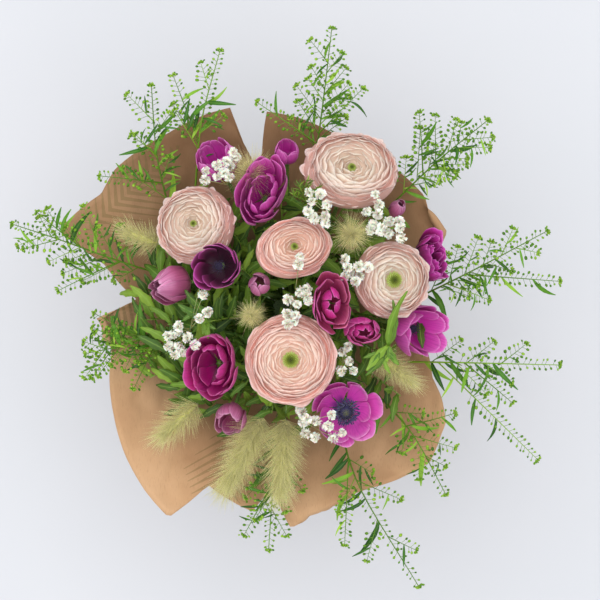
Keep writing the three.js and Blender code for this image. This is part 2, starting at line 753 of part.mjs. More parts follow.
// ---- Leaves, twigs, pods, bristles and florets ----
const UP = new THREE.Vector3(0, 0, 1);

// A narrow leaf folded along its midrib, widest below its middle, from a point along a direction.
function narrowLeaf(from, direction, length, width) {
  const side = new THREE.Vector3().crossVectors(direction, UP).normalize();
  const below = new THREE.Vector3().crossVectors(direction, side);
  return shaped(new THREE.OctahedronGeometry(1), (x, y, z) => {
    const v = z ? (z + 1) / 2 : 0.42;
    const spot = from.clone().addScaledVector(direction, length * v);
    spot.addScaledVector(side, x * width * 0.5);
    return spot.addScaledVector(below, y * LEAF_THICKNESS * 0.6 - Math.abs(x) * width * 0.3);
  });
}

// A lobe of a cut leaf with a waved edge, bending downward to its tip.
function leafLobe(from, direction, length, width, droop) {
  const side = new THREE.Vector3().crossVectors(direction, UP).normalize();
  const plane = new THREE.PlaneGeometry(1, 1, 1, 3);
  const surface = shaped(plane, (x, y) => {
    const v = y + 0.5;
    const half = width * (0.24 + 0.76 * Math.sin(Math.PI * v));
    const wave = 1 + 0.16 * Math.cos(v * 19);
    const spot = from.clone().addScaledVector(direction, length * v);
    spot.addScaledVector(side, x * half * wave);
    spot.addScaledVector(UP, -droop * v * v + Math.abs(x) * width * 0.25);
    return spot;
  });
  return sheet(surface, LEAF_THICKNESS);
}

// A flat pod on its stalk: a stretched octahedron whose lower end is on the twig's centre line.
function pod(from, direction, length, width) {
  const shape = new THREE.OctahedronGeometry(1);
  shape.scale(width * 0.5, 0.55, length * 0.5);
  shape.translate(0, 0, length * 0.5 - 0.1);
  return posed(shape, from, direction);
}

function addTwig(name, points, leaves, pods) {
  const radius = 0.8;
  const parts = points.length > 3 ? 3 : 2;
  const lengthways = centreLine(points, parts);
  if (keepFirstClear(name, [() => rod(points, radius, 0.5, 3, parts)]) === -1) {
    return lengthways;
  }
  for (let i = 0; i < leaves; i += 1) {
    const t = 0.12 + (0.62 * (i + 0.5)) / leaves;
    const tangent = lengthways.getTangentAt(t);
    const side = new THREE.Vector3().crossVectors(tangent, UP).normalize();
    const sign = i % 2 ? 1 : -1;
    const candidates = [sign, -sign].flatMap((way) =>
      [17, 12, 9].map((length) => () => {
        const direction = tangent.clone().addScaledVector(side, way * 1.1).addScaledVector(UP, 0.25);
        return narrowLeaf(lengthways.getPointAt(t), direction.normalize(), length, 4.4);
      }),
    );
    keepFirstClear(name, candidates);
  }
  for (let i = 0; i < pods; i += 1) {
    const t = i ? 0.97 : 0.8;
    const tangent = lengthways.getTangentAt(t);
    const side = new THREE.Vector3().crossVectors(tangent, UP).normalize();
    side.applyAxisAngle(tangent, i * 2.4);
    const direction = tangent.clone().multiplyScalar(0.7).add(side).normalize();
    keepFirstClear(name, [() => pod(lengthways.getPointAt(t), direction, 5.2, 2.6)]);
  }
  return lengthways;
}

function addSpray(name, spray) {
  const main = addTwig(name, spray.path.map(point), spray.twigs.length > 1 ? 2 : 3, 2);
  for (const [share, tip] of spray.twigs) {
    const start = main.getPointAt(share);
    const end = point(tip);
    const middle = start.clone().lerp(end, 0.5).addScaledVector(UP, 6);
    addTwig(name, [start, middle, end], 2, 1);
  }
  finish(name, SPRAY_GREEN, 0.6);
}

function addGrassHead(name, head) {
  const foot = point(head.foot);
  const axis = point(head.tip).sub(foot);
  const length = axis.length();
  const direction = axis.clone().normalize();
  const core = new THREE.SphereGeometry(1, 6, 4);
  core.rotateX(Math.PI / 2);
  core.scale(3.4, 3.4, length * 0.5);
  core.translate(0, 0, length * 0.5);
  keepFirstClear(name, [() => posed(core, foot, direction)]);
  for (let i = 0; i < head.bristles; i += 1) {
    const share = (i + 0.5) / head.bristles;
    const at = foot.clone().addScaledVector(axis, 0.12 + share * 0.74);
    const tilt = 72 - share * 46 + spread(8);
    const out = leaning(tilt, i * 137.5).applyQuaternion(
      new THREE.Quaternion().setFromUnitVectors(UP, direction),
    );
    const candidates = [1, 0.75, 0.5].map((size) => () => {
      const needle = new THREE.ConeGeometry(0.8, head.reach * size, 3, 1);
      needle.rotateX(Math.PI / 2);
      needle.translate(0, 0, head.reach * size * 0.5);
      return posed(needle, at, out);
    });
    keepFirstClear(name, candidates);
  }
  finish(name, GRASS_GOLD, 0.8);
}

function hubBall(hub) {
  return new THREE.OctahedronGeometry(HUB_RADIUS).translate(...hub);
}

function addGypsophila(name, cluster) {
  const hub = point(cluster.hub);
  keepFirstClear(name, [() => hubBall(cluster.hub)]);
  for (const spot of cluster.florets) {
    const head = point(spot);
    const floret = () => {
      const pompom = new THREE.IcosahedronGeometry(4 + spread(0.5), 0);
      pompom.scale(1, 1, 0.8);
      return pompom.translate(...spot);
    };
    const stalk = [0, 6, 12].map((arch) => () => {
      const middle = hub.clone().lerp(head, 0.5);
      middle.lerp(new THREE.Vector3(hub.x, hub.y, head.z), arch / 16);
      return rod([hub, middle, head], 0.6, 0.6, 3, arch ? 2 : 1);
    });
    const trial = solidFrom(floret());
    if (isClear(trial, name) && keepFirstClear(name, stalk) !== -1) {
      keep(name, trial);
    } else {
      skipped[name] = (skipped[name] ?? 0) + 1;
    }
  }
  finish(name, WHITE, 0.8);
}

function addCutLeaf(name, leaf) {
  const hub = point(leaf.hub);
  keepFirstClear(name, [() => hubBall(leaf.hub)]);
  for (const spot of leaf.lobes) {
    const candidates = [1, 0.85, 0.7, 0.55].map((size) => () => {
      const reach = point(spot).sub(hub).multiplyScalar(size);
      const length = reach.length();
      return leafLobe(hub, reach.normalize(), length, leaf.width, 2);
    });
    keepFirstClear(name, candidates);
  }
  finish(name, LEAF_GREEN, 0.7);
}

// ---- Building the bunch: blooms first, then what has to find its way between them ----
const seats = new Map();
for (const [name, bloom] of Object.entries(RANUNCULUS)) {
  seats.set(name, addRanunculus(name, bloom));
}
for (const [name, bloom] of Object.entries(ANEMONES)) {
  seats.set(name, addAnemone(name, bloom));
}
for (const name of Object.keys(RANUNCULUS)) {
  finish(name, BLUSH, 0.6);
}
for (const [name, bloom] of Object.entries(ANEMONES)) {
  finish(name, bloom.colour, 0.6);
}
addWrapper();
addTies();
addStems();
for (const [name, leaf] of Object.entries(CUT_LEAVES)) {
  addCutLeaf(name, leaf);
}
for (const [name, spray] of Object.entries(SPRAYS)) {
  addSpray(name, spray);
}
for (const [name, head] of Object.entries(GRASS_HEADS)) {
  addGrassHead(name, head);
}
for (const [name, cluster] of Object.entries(GYPSOPHILA)) {
  addGypsophila(name, cluster);
}
if (Object.keys(skipped).length) {
  console.error("skipped", JSON.stringify(skipped));
}

export default bouquet;
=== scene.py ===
# %% [markdown]
# # A mixed bouquet in kraft paper
#
# A florist turns each stem a little as it joins the bunch, so the stems spiral through the
# hand and splay at both ends: the cut ends stand on the table and the blooms open into a dome.
# This lesson dresses a plain CAD model of such a bunch. Every bloom, spray and leaf is built
# where its CAD solid is, so the model keeps its size and only gains what the eye looks for:
# thin petals, veins, hairs, pods and the crumple of paper.

import math
import random

import bmesh
import bpy
import numpy as np
from mathutils import Matrix, Vector, noise


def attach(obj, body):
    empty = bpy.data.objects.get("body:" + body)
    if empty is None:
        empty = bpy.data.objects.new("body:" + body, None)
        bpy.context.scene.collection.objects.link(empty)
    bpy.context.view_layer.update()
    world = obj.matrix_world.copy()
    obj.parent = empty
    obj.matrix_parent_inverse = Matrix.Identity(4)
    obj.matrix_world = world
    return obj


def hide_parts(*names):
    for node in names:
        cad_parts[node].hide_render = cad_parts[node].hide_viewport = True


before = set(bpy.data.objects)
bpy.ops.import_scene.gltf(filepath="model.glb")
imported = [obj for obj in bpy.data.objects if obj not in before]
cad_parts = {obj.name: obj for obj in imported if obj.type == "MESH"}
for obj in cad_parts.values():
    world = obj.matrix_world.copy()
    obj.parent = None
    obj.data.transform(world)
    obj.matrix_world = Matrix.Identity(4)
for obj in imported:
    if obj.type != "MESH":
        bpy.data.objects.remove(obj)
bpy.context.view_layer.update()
random.seed(12)

# %% [markdown]
# ## Camera, light and floor
#
# The bunch is seen straight from above, as a florist checks it. A long lens from two metres
# over the blooms keeps the far sprays from shrinking. The light is that of a north window: broad,
# high and a little behind the bunch, so the paper in front glows and the paper behind is deeper,
# and a painted shade on the far flaps deepens it further.
# A wide fill and a bright surrounding keep the shadows faint on the plain pale floor.

# %% Camera
MM = 0.001

camera_data = bpy.data.cameras.new("camera")
camera_data.sensor_width = 36
camera_data.lens = 160
camera = bpy.data.objects.new("camera", camera_data)
camera.location = (0.011, 0.006, 2.3)
bpy.context.scene.collection.objects.link(camera)
bpy.context.scene.camera = camera
bpy.context.scene.view_settings.view_transform = "Standard"
print("field of view, degrees:", round(math.degrees(camera_data.angle), 1))


# %% Lights
def soft_light(name, place, size, power):
    """A square area light that faces the blooms."""
    data = bpy.data.lights.new(name, "AREA")
    data.shape = "SQUARE"
    data.size = size
    data.energy = power
    light = bpy.data.objects.new(name, data)
    light.location = place
    toward = Vector((0, 0, 0.2)) - Vector(place)
    light.rotation_euler = toward.to_track_quat("-Z", "Y").to_euler()
    bpy.context.scene.collection.objects.link(light)


soft_light("window", (-0.5, 0.6, 2.3), 2.6, 33)
soft_light("fill", (0.35, -0.5, 2.4), 2.4, 22)
world = bpy.data.worlds.new("studio")
world.use_nodes = True
world.node_tree.nodes["Background"].inputs["Color"].default_value = (0.95, 0.97, 1.0, 1)
world.node_tree.nodes["Background"].inputs["Strength"].default_value = 0.84
bpy.context.scene.world = world

# %% [markdown]
# ## Colours and nodes
#
# Every finish below is a small node graph. Four helpers keep them short: one turns a colour as a
# screen shows it into the linear values that the renderer wants, one adds a node with its
# settings, its links and, for a colour ramp, its stops, one starts a material, and one links its
# colour and its bump.


# %% Helpers for finishes
def linear(code):
    """The linear colour of an sRGB hex code."""
    values = [int(code[i : i + 2], 16) / 255 for i in (0, 2, 4)]
    return [v / 12.92 if v <= 0.04045 else ((v + 0.055) / 1.055) ** 2.4 for v in values] + [1]


def add(tree, kind, inputs=None, stops=(), **settings):
    """Adds a node; an input is linked to a node or a socket, and set to any other value."""
    node = tree.nodes.new("ShaderNode" + kind)
    for setting, value in settings.items():
        setattr(node, setting, value)
    while len(stops) > 2 and len(node.color_ramp.elements) < len(stops):
        node.color_ramp.elements.new(1)
    for number, (place, code) in enumerate(stops):
        node.color_ramp.elements[number].position = place
        node.color_ramp.elements[number].color = linear(code)
    for name, value in (inputs or {}).items():
        if isinstance(value, bpy.types.Node):
            value = value.outputs[0]
        if isinstance(value, bpy.types.NodeSocket):
            tree.links.new(value, node.inputs[name])
        else:
            node.inputs[name].default_value = value
    return node


def new_finish(name, roughness, **fixed):
    """A material, its tree and its shader, with what is the same all over set on the shader."""
    material = bpy.data.materials.new(name)
    material.use_nodes = True
    shader = material.node_tree.nodes["Principled BSDF"]
    shader.inputs["Roughness"].default_value = roughness
    for socket, value in fixed.items():
        shader.inputs[socket.replace("_", " ")].default_value = value
    return material, material.node_tree, shader


def link_surface(tree, shader, colour, height=None, strength=0, distance=0):
    """Links the colour and, where there is a height, a bump that is distance metres deep."""
    tree.links.new(colour.outputs[0], shader.inputs["Base Color"])
    if height is not None:
        bump = add(tree, "Bump", {"Height": height, "Strength": strength, "Distance": distance})
        tree.links.new(bump.outputs[0], shader.inputs["Normal"])


# %% The floor
# Matt paper of a photographer's roll: no gloss and a hardly visible mottle.
floor_finish, tree, shader = new_finish("pale_backdrop_paper", 0.9)
place = add(tree, "TexCoord")
mottle = add(tree, "TexNoise", {"Vector": place.outputs["Object"], "Scale": 3.0, "Detail": 2.0})
tone = add(tree, "ValToRGB", {"Fac": mottle}, [(0.3, "c8cace"), (0.7, "cccdd1")])
link_surface(tree, shader, tone)

shape = bmesh.new()
bmesh.ops.create_grid(shape, x_segments=4, y_segments=4, size=3)
mesh = bpy.data.meshes.new("floor")
shape.to_mesh(mesh)
shape.free()
mesh.materials.append(floor_finish)
floor = bpy.data.objects.new("floor", mesh)
bpy.context.scene.collection.objects.link(floor)

# %% [markdown]
# ## Petals and leaves as blades
#
# A petal and a leaf are both a thin blade, so one helper makes them all: it adds a flat grid
# with a bmesh operator and moves each corner to where a placing rule puts it. Each corner also
# keeps its place across and along the blade, the blade's own tint and how deep inside the bloom
# the blade sits in an attribute named "grain", so that veins and rims follow it as it bends.


# %% Helpers for shapes
def new_shape():
    """An empty bmesh that can keep the grain of its blades."""
    shape = bmesh.new()
    shape.verts.layers.float_color.new("grain")
    return shape


def add_blade(shape, across, along, place, depth=1.0):
    """One blade; place(u, v) takes u from -1 to 1 across it and v from 0 to 1 along it."""
    grain = shape.verts.layers.float_color["grain"]
    tint = random.random()
    made = bmesh.ops.create_grid(shape, x_segments=across, y_segments=along, size=1)
    for corner in made["verts"]:
        u, v = corner.co.x, corner.co.y * 0.5 + 0.5
        corner.co = place(u, v)
        corner[grain] = (u * 0.5 + 0.5, v, tint, depth)


def add_cone(shape, matrix, sides, foot, top, tall):
    """A closed cone about its own middle; foot and top are its radii. Returns its corners."""
    made = bmesh.ops.create_cone(
        shape, cap_ends=True, segments=sides, radius1=foot, radius2=top, depth=tall, matrix=matrix
    )
    return made["verts"]


def add_ball(shape, matrix, radius, squash, fineness=2):
    """A ball that is squashed along its own axes. Returns its corners."""
    made = bmesh.ops.create_icosphere(shape, subdivisions=fineness, radius=radius)
    squashed = matrix @ Matrix.Diagonal((*squash, 1))
    bmesh.ops.transform(shape, matrix=squashed, verts=made["verts"])
    return made["verts"]


def make_piece(name, shape, finishes, nodes=(), wall=0, levels=0):
    """Turns a shape into a piece of the bouquet that stands for some CAD nodes."""
    mesh = bpy.data.meshes.new(name)
    shape.to_mesh(mesh)
    shape.free()
    for finish in finishes:
        mesh.materials.append(finish)
    mesh.shade_smooth()
    piece = bpy.data.objects.new(name, mesh)
    bpy.context.scene.collection.objects.link(piece)
    if wall:
        solidify = piece.modifiers.new("wall", "SOLIDIFY")
        solidify.thickness = wall * MM
        solidify.offset = 0
        solidify.material_offset = 1 if len(finishes) > 1 else 0
    if levels:
        smooth = piece.modifiers.new("smooth", "SUBSURF")
        smooth.levels = smooth.render_levels = levels
    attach(piece, "root")
    if nodes:
        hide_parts(*nodes)
    print(name, len(mesh.polygons), "faces before its modifiers")
    return piece


def leaning(tilt, bearing):
    """The direction that leans by tilt degrees from upright toward a bearing in plan."""
    lean, turn = math.radians(tilt), math.radians(bearing)
    flat = math.sin(lean)
    return Vector((flat * math.cos(turn), flat * math.sin(turn), math.cos(lean)))


UP = Vector((0, 0, 1))
# Petals, pods and shoots grow by this turn in degrees, which never lines two of them up.
GOLDEN_ANGLE = 137.5


def stand(base, direction, roll=0):
    """The matrix that puts a shape made in millimetres about +Z on its base in the frame."""
    turn = UP.rotation_difference(direction).to_matrix().to_4x4()
    roll = Matrix.Rotation(math.radians(roll), 4, "Z")
    return Matrix.Scale(MM, 4) @ Matrix.Translation(Vector(base)) @ turn @ roll


def facing(direction):
    """The matrix that turns +Z to a direction."""
    return direction.to_track_quat("Z", "Y").to_matrix().to_4x4()


def through(points, steps):
    """Points on a smooth line through the given ones."""
    points = [Vector(p) for p in points]
    points = [points[0] * 2 - points[1]] + points + [points[-1] * 2 - points[-2]]
    line = []
    for i in range(len(points) - 3):
        a, b, c, d = points[i : i + 4]
        for k in range(steps):
            t = k / steps
            line.append(
                (2 * b + (c - a) * t + (2 * a - 5 * b + 4 * c - d) * t**2)
                + (3 * b - a - 3 * c + d) * t**3
            )
    line.append(points[-2] * 2)
    return [p / 2 for p in line]


# %% [markdown]
# ## The finish of petals
#
# A petal is a thin sheet of living cells: soft, a little glossy where it is stretched, and
# lit through by its neighbours. Its colour runs from claw to rim, fine veins fan along it, and
# no two petals have the same tone. The ramp reads the grain's place along the petal, a stretched
# noise draws the veins, and the tint shifts each petal. The petals deep in a bloom are younger
# and paler, so a second ramp takes over there. A little subsurface gives the depth.


# %% Petal finish
def read_grain(tree):
    """The grain's parts, which are across (Red), along (Green) and tint (Blue), and its depth."""
    grain = add(tree, "Attribute", attribute_name="grain")
    return add(tree, "SeparateColor", {"Color": grain}), grain.outputs["Alpha"]


def petal_finish(name, stops, vein_colour, veins, lines, roughness=0.5, heart=None, glow=0.2):
    """Ramp stops from claw to rim, the share and the number of veins, and the heart's stops."""
    material, tree, shader = new_finish(
        name, roughness, Subsurface_Weight=glow, Subsurface_Scale=0.002, Sheen_Weight=0.06
    )
    shader.inputs["Subsurface Radius"].default_value = (1.0, 0.75, 0.7)
    part, depth = read_grain(tree)
    spread = add(tree, "Math", {0: part.outputs["Red"], 1: lines}, operation="MULTIPLY")
    run = add(tree, "Math", {0: part.outputs["Green"], 1: 1.6}, operation="MULTIPLY")
    whim = add(tree, "Math", {0: part.outputs["Blue"], 1: 60.0}, operation="MULTIPLY")
    stretched = add(tree, "CombineXYZ", {"X": spread, "Y": run, "Z": whim})
    streak = add(tree, "TexNoise", {"Vector": stretched, "Scale": 1.0, "Detail": 3.0})
    shifted = add(tree, "MapRange", {"Value": streak, "To Min": -0.06, "To Max": 0.06})
    along = add(tree, "Math", {0: part.outputs["Green"], 1: shifted}, operation="ADD")
    colour = add(tree, "ValToRGB", {"Fac": along}, stops)
    if heart:
        young = add(tree, "ValToRGB", {"Fac": along}, heart)
        inside = add(tree, "MapRange", {"Value": depth, "From Min": 0.35, "From Max": 0.85})
        colour = add(tree, "MixRGB", {"Fac": inside, "Color1": colour, "Color2": young})
    strength = add(
        tree, "MapRange", {"Value": streak, "From Min": 0.45, "From Max": 0.72, "To Max": veins}
    )
    veined = add(
        tree, "MixRGB", {"Fac": strength, "Color1": colour, "Color2": linear(vein_colour)}
    )
    level = add(tree, "MapRange", {"Value": part.outputs["Blue"], "To Min": 0.86, "To Max": 1.1})
    toned = add(tree, "HueSaturation", {"Color": veined, "Value": level})
    link_surface(tree, shader, toned, streak, 0.35, 0.0004)
    return material


blush = petal_finish(
    "ranunculus_petal_blush",
    [(0.0, "e4b0a2"), (0.6, "dc9c8e"), (0.82, "e2a89b"), (0.93, "e9b9ad"), (1.0, "f0c8be")],
    "cc7264",
    0.4,
    9,
    heart=[(0.0, "e8cba8"), (0.6, "dca68e"), (0.82, "e4b8a2"), (0.94, "ebc8b4"), (1.0, "f1d5c2")],
    glow=0.45,
)
cream = petal_finish(
    "ranunculus_petal_cream",
    [(0.0, "dfb6a7"), (0.6, "ce988b"), (0.82, "d6a89c"), (0.93, "dfbaae"), (1.0, "e8ccc3")],
    "c67f74",
    0.35,
    9,
    heart=[(0.0, "dcd2aa"), (0.6, "d2b098"), (0.82, "dbc2ab"), (0.94, "e4d2bd"), (1.0, "ecdfcd")],
    glow=0.45,
)
magenta = petal_finish(
    "anemone_petal_magenta",
    [(0.0, "74145e"), (0.3, "bc2498"), (0.7, "d244b0"), (0.93, "da5eba"), (1.0, "e280c8")],
    "9c1280",
    0.45,
    22,
    0.42,
)
crimson = petal_finish(
    "anemone_petal_crimson_magenta",
    [(0.0, "4a0630"), (0.3, "a80e72"), (0.7, "ca2090"), (0.93, "d2409c"), (1.0, "dc6cb0")],
    "8a0a5a",
    0.45,
    22,
    0.42,
)
plum = petal_finish(
    "anemone_petal_plum",
    [(0.0, "0c0208"), (0.45, "3a0626"), (0.75, "8c1464"), (0.93, "ba329a"), (1.0, "d05cb4")],
    "4c0834",
    0.45,
    22,
    0.42,
)
mauve = petal_finish(
    "anemone_petal_dusty_mauve",
    [(0.0, "8a7a4c"), (0.25, "984462"), (0.7, "ae5682"), (0.93, "c2749e"), (1.0, "d696b8")],
    "7a2452",
    0.65,
    26,
)
violet = petal_finish(
    "anemone_petal_violet",
    [(0.0, "38104a"), (0.12, "782484"), (0.25, "cc3cac"), (0.75, "e25abe"), (1.0, "ee96d4")],
    "a8248c",
    0.55,
    18,
    0.42,
)
coral = petal_finish(
    "anemone_petal_coral_back",
    [(0.0, "a04068"), (0.5, "c83c80"), (0.9, "da6292"), (1.0, "e48ea4")],
    "a82c60",
    0.5,
    24,
)

# %% [markdown]
# ## Ranunculus
#
# A ranunculus opens as a ball of a hundred paper-thin petals wrapped one inside the other
# round a green eye. Seen from above, what shows is their rims, each a little higher than the
# last. They grow one after another by the golden angle, so each petal takes its reach and its
# height from how far in it sits on the bloom's dome. The outer ones lie open with wavy, rounded
# rims, and the inner ones are bowls that curl over the eye. A hundred rims leave dark cracks
# between them, where a real bloom shows more petals. So a dome lies just under the rims.

# %% Where the ranunculus blooms stand
RANUNCULUS = {
    "left": dict(at=(-67, 62, 288), tilt=17, bearing=145, radius=32, height=31, eye=2.6),
    "top": dict(at=(49, 103, 283), tilt=20, bearing=70, radius=35, height=32, eye=3.2),
    "middle": dict(at=(6, 44, 318), tilt=12, bearing=60, radius=27.5, height=30, eye=2.8),
    "right": dict(at=(79, 21, 296), tilt=14, bearing=0, radius=31, height=31, eye=6),
    "front": dict(at=(4, -38, 308), tilt=3, bearing=270, radius=36.5, height=34, eye=6),
}
# Two blooms are squeezed by their neighbours: how wide and deep they are, and their turn.
SQUEEZED = {"middle": (1.1, 0.86, 15), "top": (1.1, 0.92, 0)}
# The number of petals, half the width of an outer one in radians, and how frilled the rims are.
PETALS = {
    "left": (100, 0.27, 1.2),
    "top": (100, 0.3, 1.4),
    "middle": (80, 0.6, 0.8),
    "right": (96, 0.4, 1.2),
    "front": (116, 0.46, 0.9),
}
# The reach and the height of the rims, as parts of the bloom's own, from the outermost in. The
# innermost reach is left to the eye.
DOME_STEP = (0, 0.25, 0.5, 0.75, 1)
DOME_REACH = (1.0, 0.87, 0.7, 0.48)
DOME_RISE = (0.62, 0.86, 0.99, 0.97, 0.86)


# %% One ranunculus petal
def ranunculus_petal(shape, matrix, bloom, inward, turn, squeezed, lap, frill):
    """inward runs from 0 for the outermost petal to 1 for the one next to the eye."""
    reaches = DOME_REACH + (bloom["eye"] * 1.12 / bloom["radius"],)
    loose = 1 - inward
    reach = np.interp(inward, DOME_STEP, reaches)
    reach *= random.uniform(1 - 0.05 * loose, 1 + 0.03 * loose)
    rise = np.interp(inward, DOME_STEP, DOME_RISE) * random.uniform(0.96, 1.03)
    half_angle = lap + (0.78 - lap) * inward**1.2
    wave, beat, notch = random.uniform(0, 6), random.uniform(0, 6), random.uniform(0, 0.09)
    lip = 0.26 - 0.87 * inward**1.1
    ruffle = (0.03 - 0.018 * inward) * frill
    skew = random.uniform(-0.05, 0.05) * loose

    def place(u, v):
        t = v * (1 - (0.26 - 0.12 * inward) * abs(u) ** 2.6 - notch * math.exp(-((u / 0.2) ** 2)))
        climb = 1 - (1 - t) ** 1.7
        r = reach * (0.22 + (0.78 - lip) * math.sin(climb * math.pi / 2) + lip * t**4)
        z = 0.03 + (rise - 0.03) * climb
        r = r * (1 + 0.03 * u) + math.sin(u * 4 + wave) * ruffle * t**3
        r += math.sin(u * 9 + beat) * ruffle * 0.3 * t**5
        z += (math.sin(u * 5 + beat) * ruffle - 0.06 * abs(u) ** 3 * loose + skew * u) * t**3
        a = turn + u * half_angle * (0.45 + 0.55 * math.sin(math.pi / 2 * min(1, t / 0.6)))
        spot = Vector((r * math.cos(a) * squeezed[0], r * math.sin(a) * squeezed[1], 0))
        spot *= bloom["radius"]
        spot.z = z * bloom["height"]
        return matrix @ spot

    add_blade(shape, 10, 6, place, inward)


# %% The heart behind the rims
def add_heart(shape, matrix, bloom, squeezed):
    """A dome a little under the rims: the young petals that show between them as salmon lines."""
    grain = shape.verts.layers.float_color["grain"]
    steps = (0, 0.2, 0.32, 0.5, 0.66, 0.82, 1)
    reaches = (0.3, 0.86) + DOME_REACH + (0,)
    rises = (0.06, 0.4) + DOME_RISE[:4] + (0.8,)

    def place(u, v):
        r = np.interp(v, steps, reaches) * 0.975 * bloom["radius"]
        turn = u * math.pi
        spot = Vector((r * math.cos(turn) * squeezed[0], r * math.sin(turn) * squeezed[1], 0))
        spot.z = np.interp(v, steps, rises) * bloom["height"] - 2.6
        return matrix @ spot

    add_blade(shape, 40, 14, place)
    bmesh.ops.remove_doubles(shape, verts=shape.verts, dist=1e-6)
    for corner in shape.verts:
        corner[grain] = (corner[grain][0], 0.62, 0.5, max(0, corner[grain][1] * 1.5 - 0.5))


# %% Five ranunculus blooms
for name, bloom in RANUNCULUS.items():
    direction = leaning(bloom["tilt"], bloom["bearing"])
    base = Vector(bloom["at"]) - direction * bloom["height"] / 2
    wide, deep, roll = SQUEEZED.get(name, (1, 1, 0))
    matrix = stand(base, direction, roll)
    petals, lap, frill = PETALS[name]
    shape = new_shape()
    add_heart(shape, matrix, bloom, (wide, deep))
    for petal in range(petals):
        turn = math.radians(petal * GOLDEN_ANGLE + random.uniform(-9, 9))
        inward = petal / (petals - 1)
        ranunculus_petal(shape, matrix, bloom, inward, turn, (wide, deep), lap, frill)
    finish = blush if name in ("middle", "front") else cream
    node = f"ranunculus_{name}"
    make_piece(f"{node}_petals", shape, [finish], [node], 0.2, 1)

# %% [markdown]
# ## The green eyes
#
# The eye of a ranunculus is a knob of many small carpels, packed in the spirals of a pine
# cone. A cone with four sides stands for each, set by the golden angle over a low dome.

# %% Carpel finish
# Waxy young carpels, a little see-through. Those in the middle are darker, as they are still shut.
carpel, tree, shader = new_finish("ranunculus_carpel_green", 0.6, Subsurface_Weight=0.1)
part, _ = read_grain(tree)
tone = add(
    tree,
    "ValToRGB",
    {"Fac": part.outputs["Red"]},
    [(0.0, "4a4f1c"), (0.35, "6f7d22"), (0.8, "a3b345"), (1.0, "cdd687")],
)
link_surface(tree, shader, tone)


# %% A dome of small cones
CONE_TURN = 2.39996  # the golden angle in radians


def add_cones(shape, matrix, radius, height, count, size, length):
    """Cones by the golden angle over a dome, with the way out from its middle as their grain."""
    grain = shape.verts.layers.float_color["grain"]
    for i in range(count):
        out = math.sqrt((i + 0.5) / count)
        turn = i * CONE_TURN
        spot = Vector((out * math.cos(turn), out * math.sin(turn), 0)) * radius
        spot.z = height * (1 - out * out)
        way = Vector((spot.x, spot.y, radius * 0.9)).normalized()
        cone = matrix @ Matrix.Translation(spot) @ facing(way)
        for corner in add_cone(shape, cone, 4, size, size * 0.25, length):
            corner[grain] = (out, 0.5, random.random(), 1)


for name, bloom in RANUNCULUS.items():
    direction = leaning(bloom["tilt"], bloom["bearing"])
    lift = bloom["height"] * 0.26 + 0.3
    matrix = stand(Vector(bloom["at"]) + direction * lift, direction)
    shape = new_shape()
    size = bloom["eye"] * 0.17
    add_cones(shape, matrix, bloom["eye"] * 0.95, bloom["eye"] * 0.7, 90, size, size * 3)
    add_ball(shape, matrix, bloom["eye"] * 0.9, (1, 1, 0.6))
    node = f"ranunculus_{name}_eye"
    make_piece(f"{node}_carpels", shape, [carpel], [node])

# %% [markdown]
# ## Anemones
#
# An anemone has four to seven broad petals in each whorl, silky inside and veined outside. In
# this bunch one is wide open, most are still cups, and a few are shut or folded. One petal
# rule serves them all: the side profile of the form gives its rise, and stretch, roll and
# ruffle give each bloom the lean and the crumple of its own.

# %% Where the anemones stand
ANEMONE_FORMS = {
    "open": ((0.1, 0.6, 0.9, 1.02), (0.01, 0.14, 0.5, 0.96)),
    "cup": ((0.1, 0.66, 0.88, 0.94), (0.01, 0.16, 0.55, 0.96)),
    "half": ((0.1, 0.64, 0.84, 0.68), (0.01, 0.18, 0.58, 0.96)),
    "shut": ((0.1, 0.62, 0.72, 0.32), (0.01, 0.22, 0.62, 0.96)),
}
# Name: place, tilt, bearing, radius, height, petals, form, inner form, stretch, roll, ruffle.
ANEMONES = {
    "open": ((45, -78, 282), 12, 300, 26.5, 22, 7, "open", "open", (1, 1), 0, 0.25, violet),
    "double": ((-17, 86, 297), 8, 120, 24, 40, 6, "cup", "half", (0.86, 1.28), -24, 0.5, magenta),
    "cup_left": ((-50, 31, 322), 10, 200, 20.5, 32, 6, "cup", "cup", (1, 1), 0, 0.3, plum),
    "cup_front": (
        (-54, -43, 296), 12, 200, 23, 38, 6, "cup", "half", (0.95, 1.35), 0, 0.5, crimson
    ),
    "cup_right": ((101, -17, 266), 40, 345, 22.5, 36, 6, "cup", "cup", (1, 1), 0, 0.2, magenta),
    "far_left": ((-88, 17, 280), 58, 190, 21.5, 37, 6, "shut", "shut", (1, 1), 0, 0.3, mauve),
    "far_top": ((-52, 112, 264), 42, 118, 20, 32, 6, "half", "half", (1, 1), 0, 0.2, magenta),
    "folded": ((34, 4, 328), 6, 20, 20, 34, 5, "cup", "shut", (0.82, 1.25), 0, 0.7, crimson),
    "small_folded": (
        (58, -17, 306), 10, 300, 16, 28, 5, "half", "shut", (1.15, 0.85), 0, 0.5, crimson
    ),
    "ruffled": ((110, 38, 262), 48, 25, 16, 26, 6, "cup", "half", (0.8, 1.4), 0, 0.8, plum),
    "bud": ((-19, 18, 316), 10, 90, 12, 28, 5, "shut", "shut", (1, 1), 0, 0.1, mauve),
    "behind_grass": ((-42, -84, 266), 35, 250, 15.5, 26, 5, "half", "half", (1, 1), 0, 0.2, mauve),
    "dusty": ((85, 76, 274), 30, 50, 9, 22, 4, "shut", "shut", (1, 1), 0, 0.1, mauve),
    "top_small": ((1, 119, 262), 32, 90, 12, 22, 5, "half", "half", (1, 1), 0, 0.2, magenta),
}


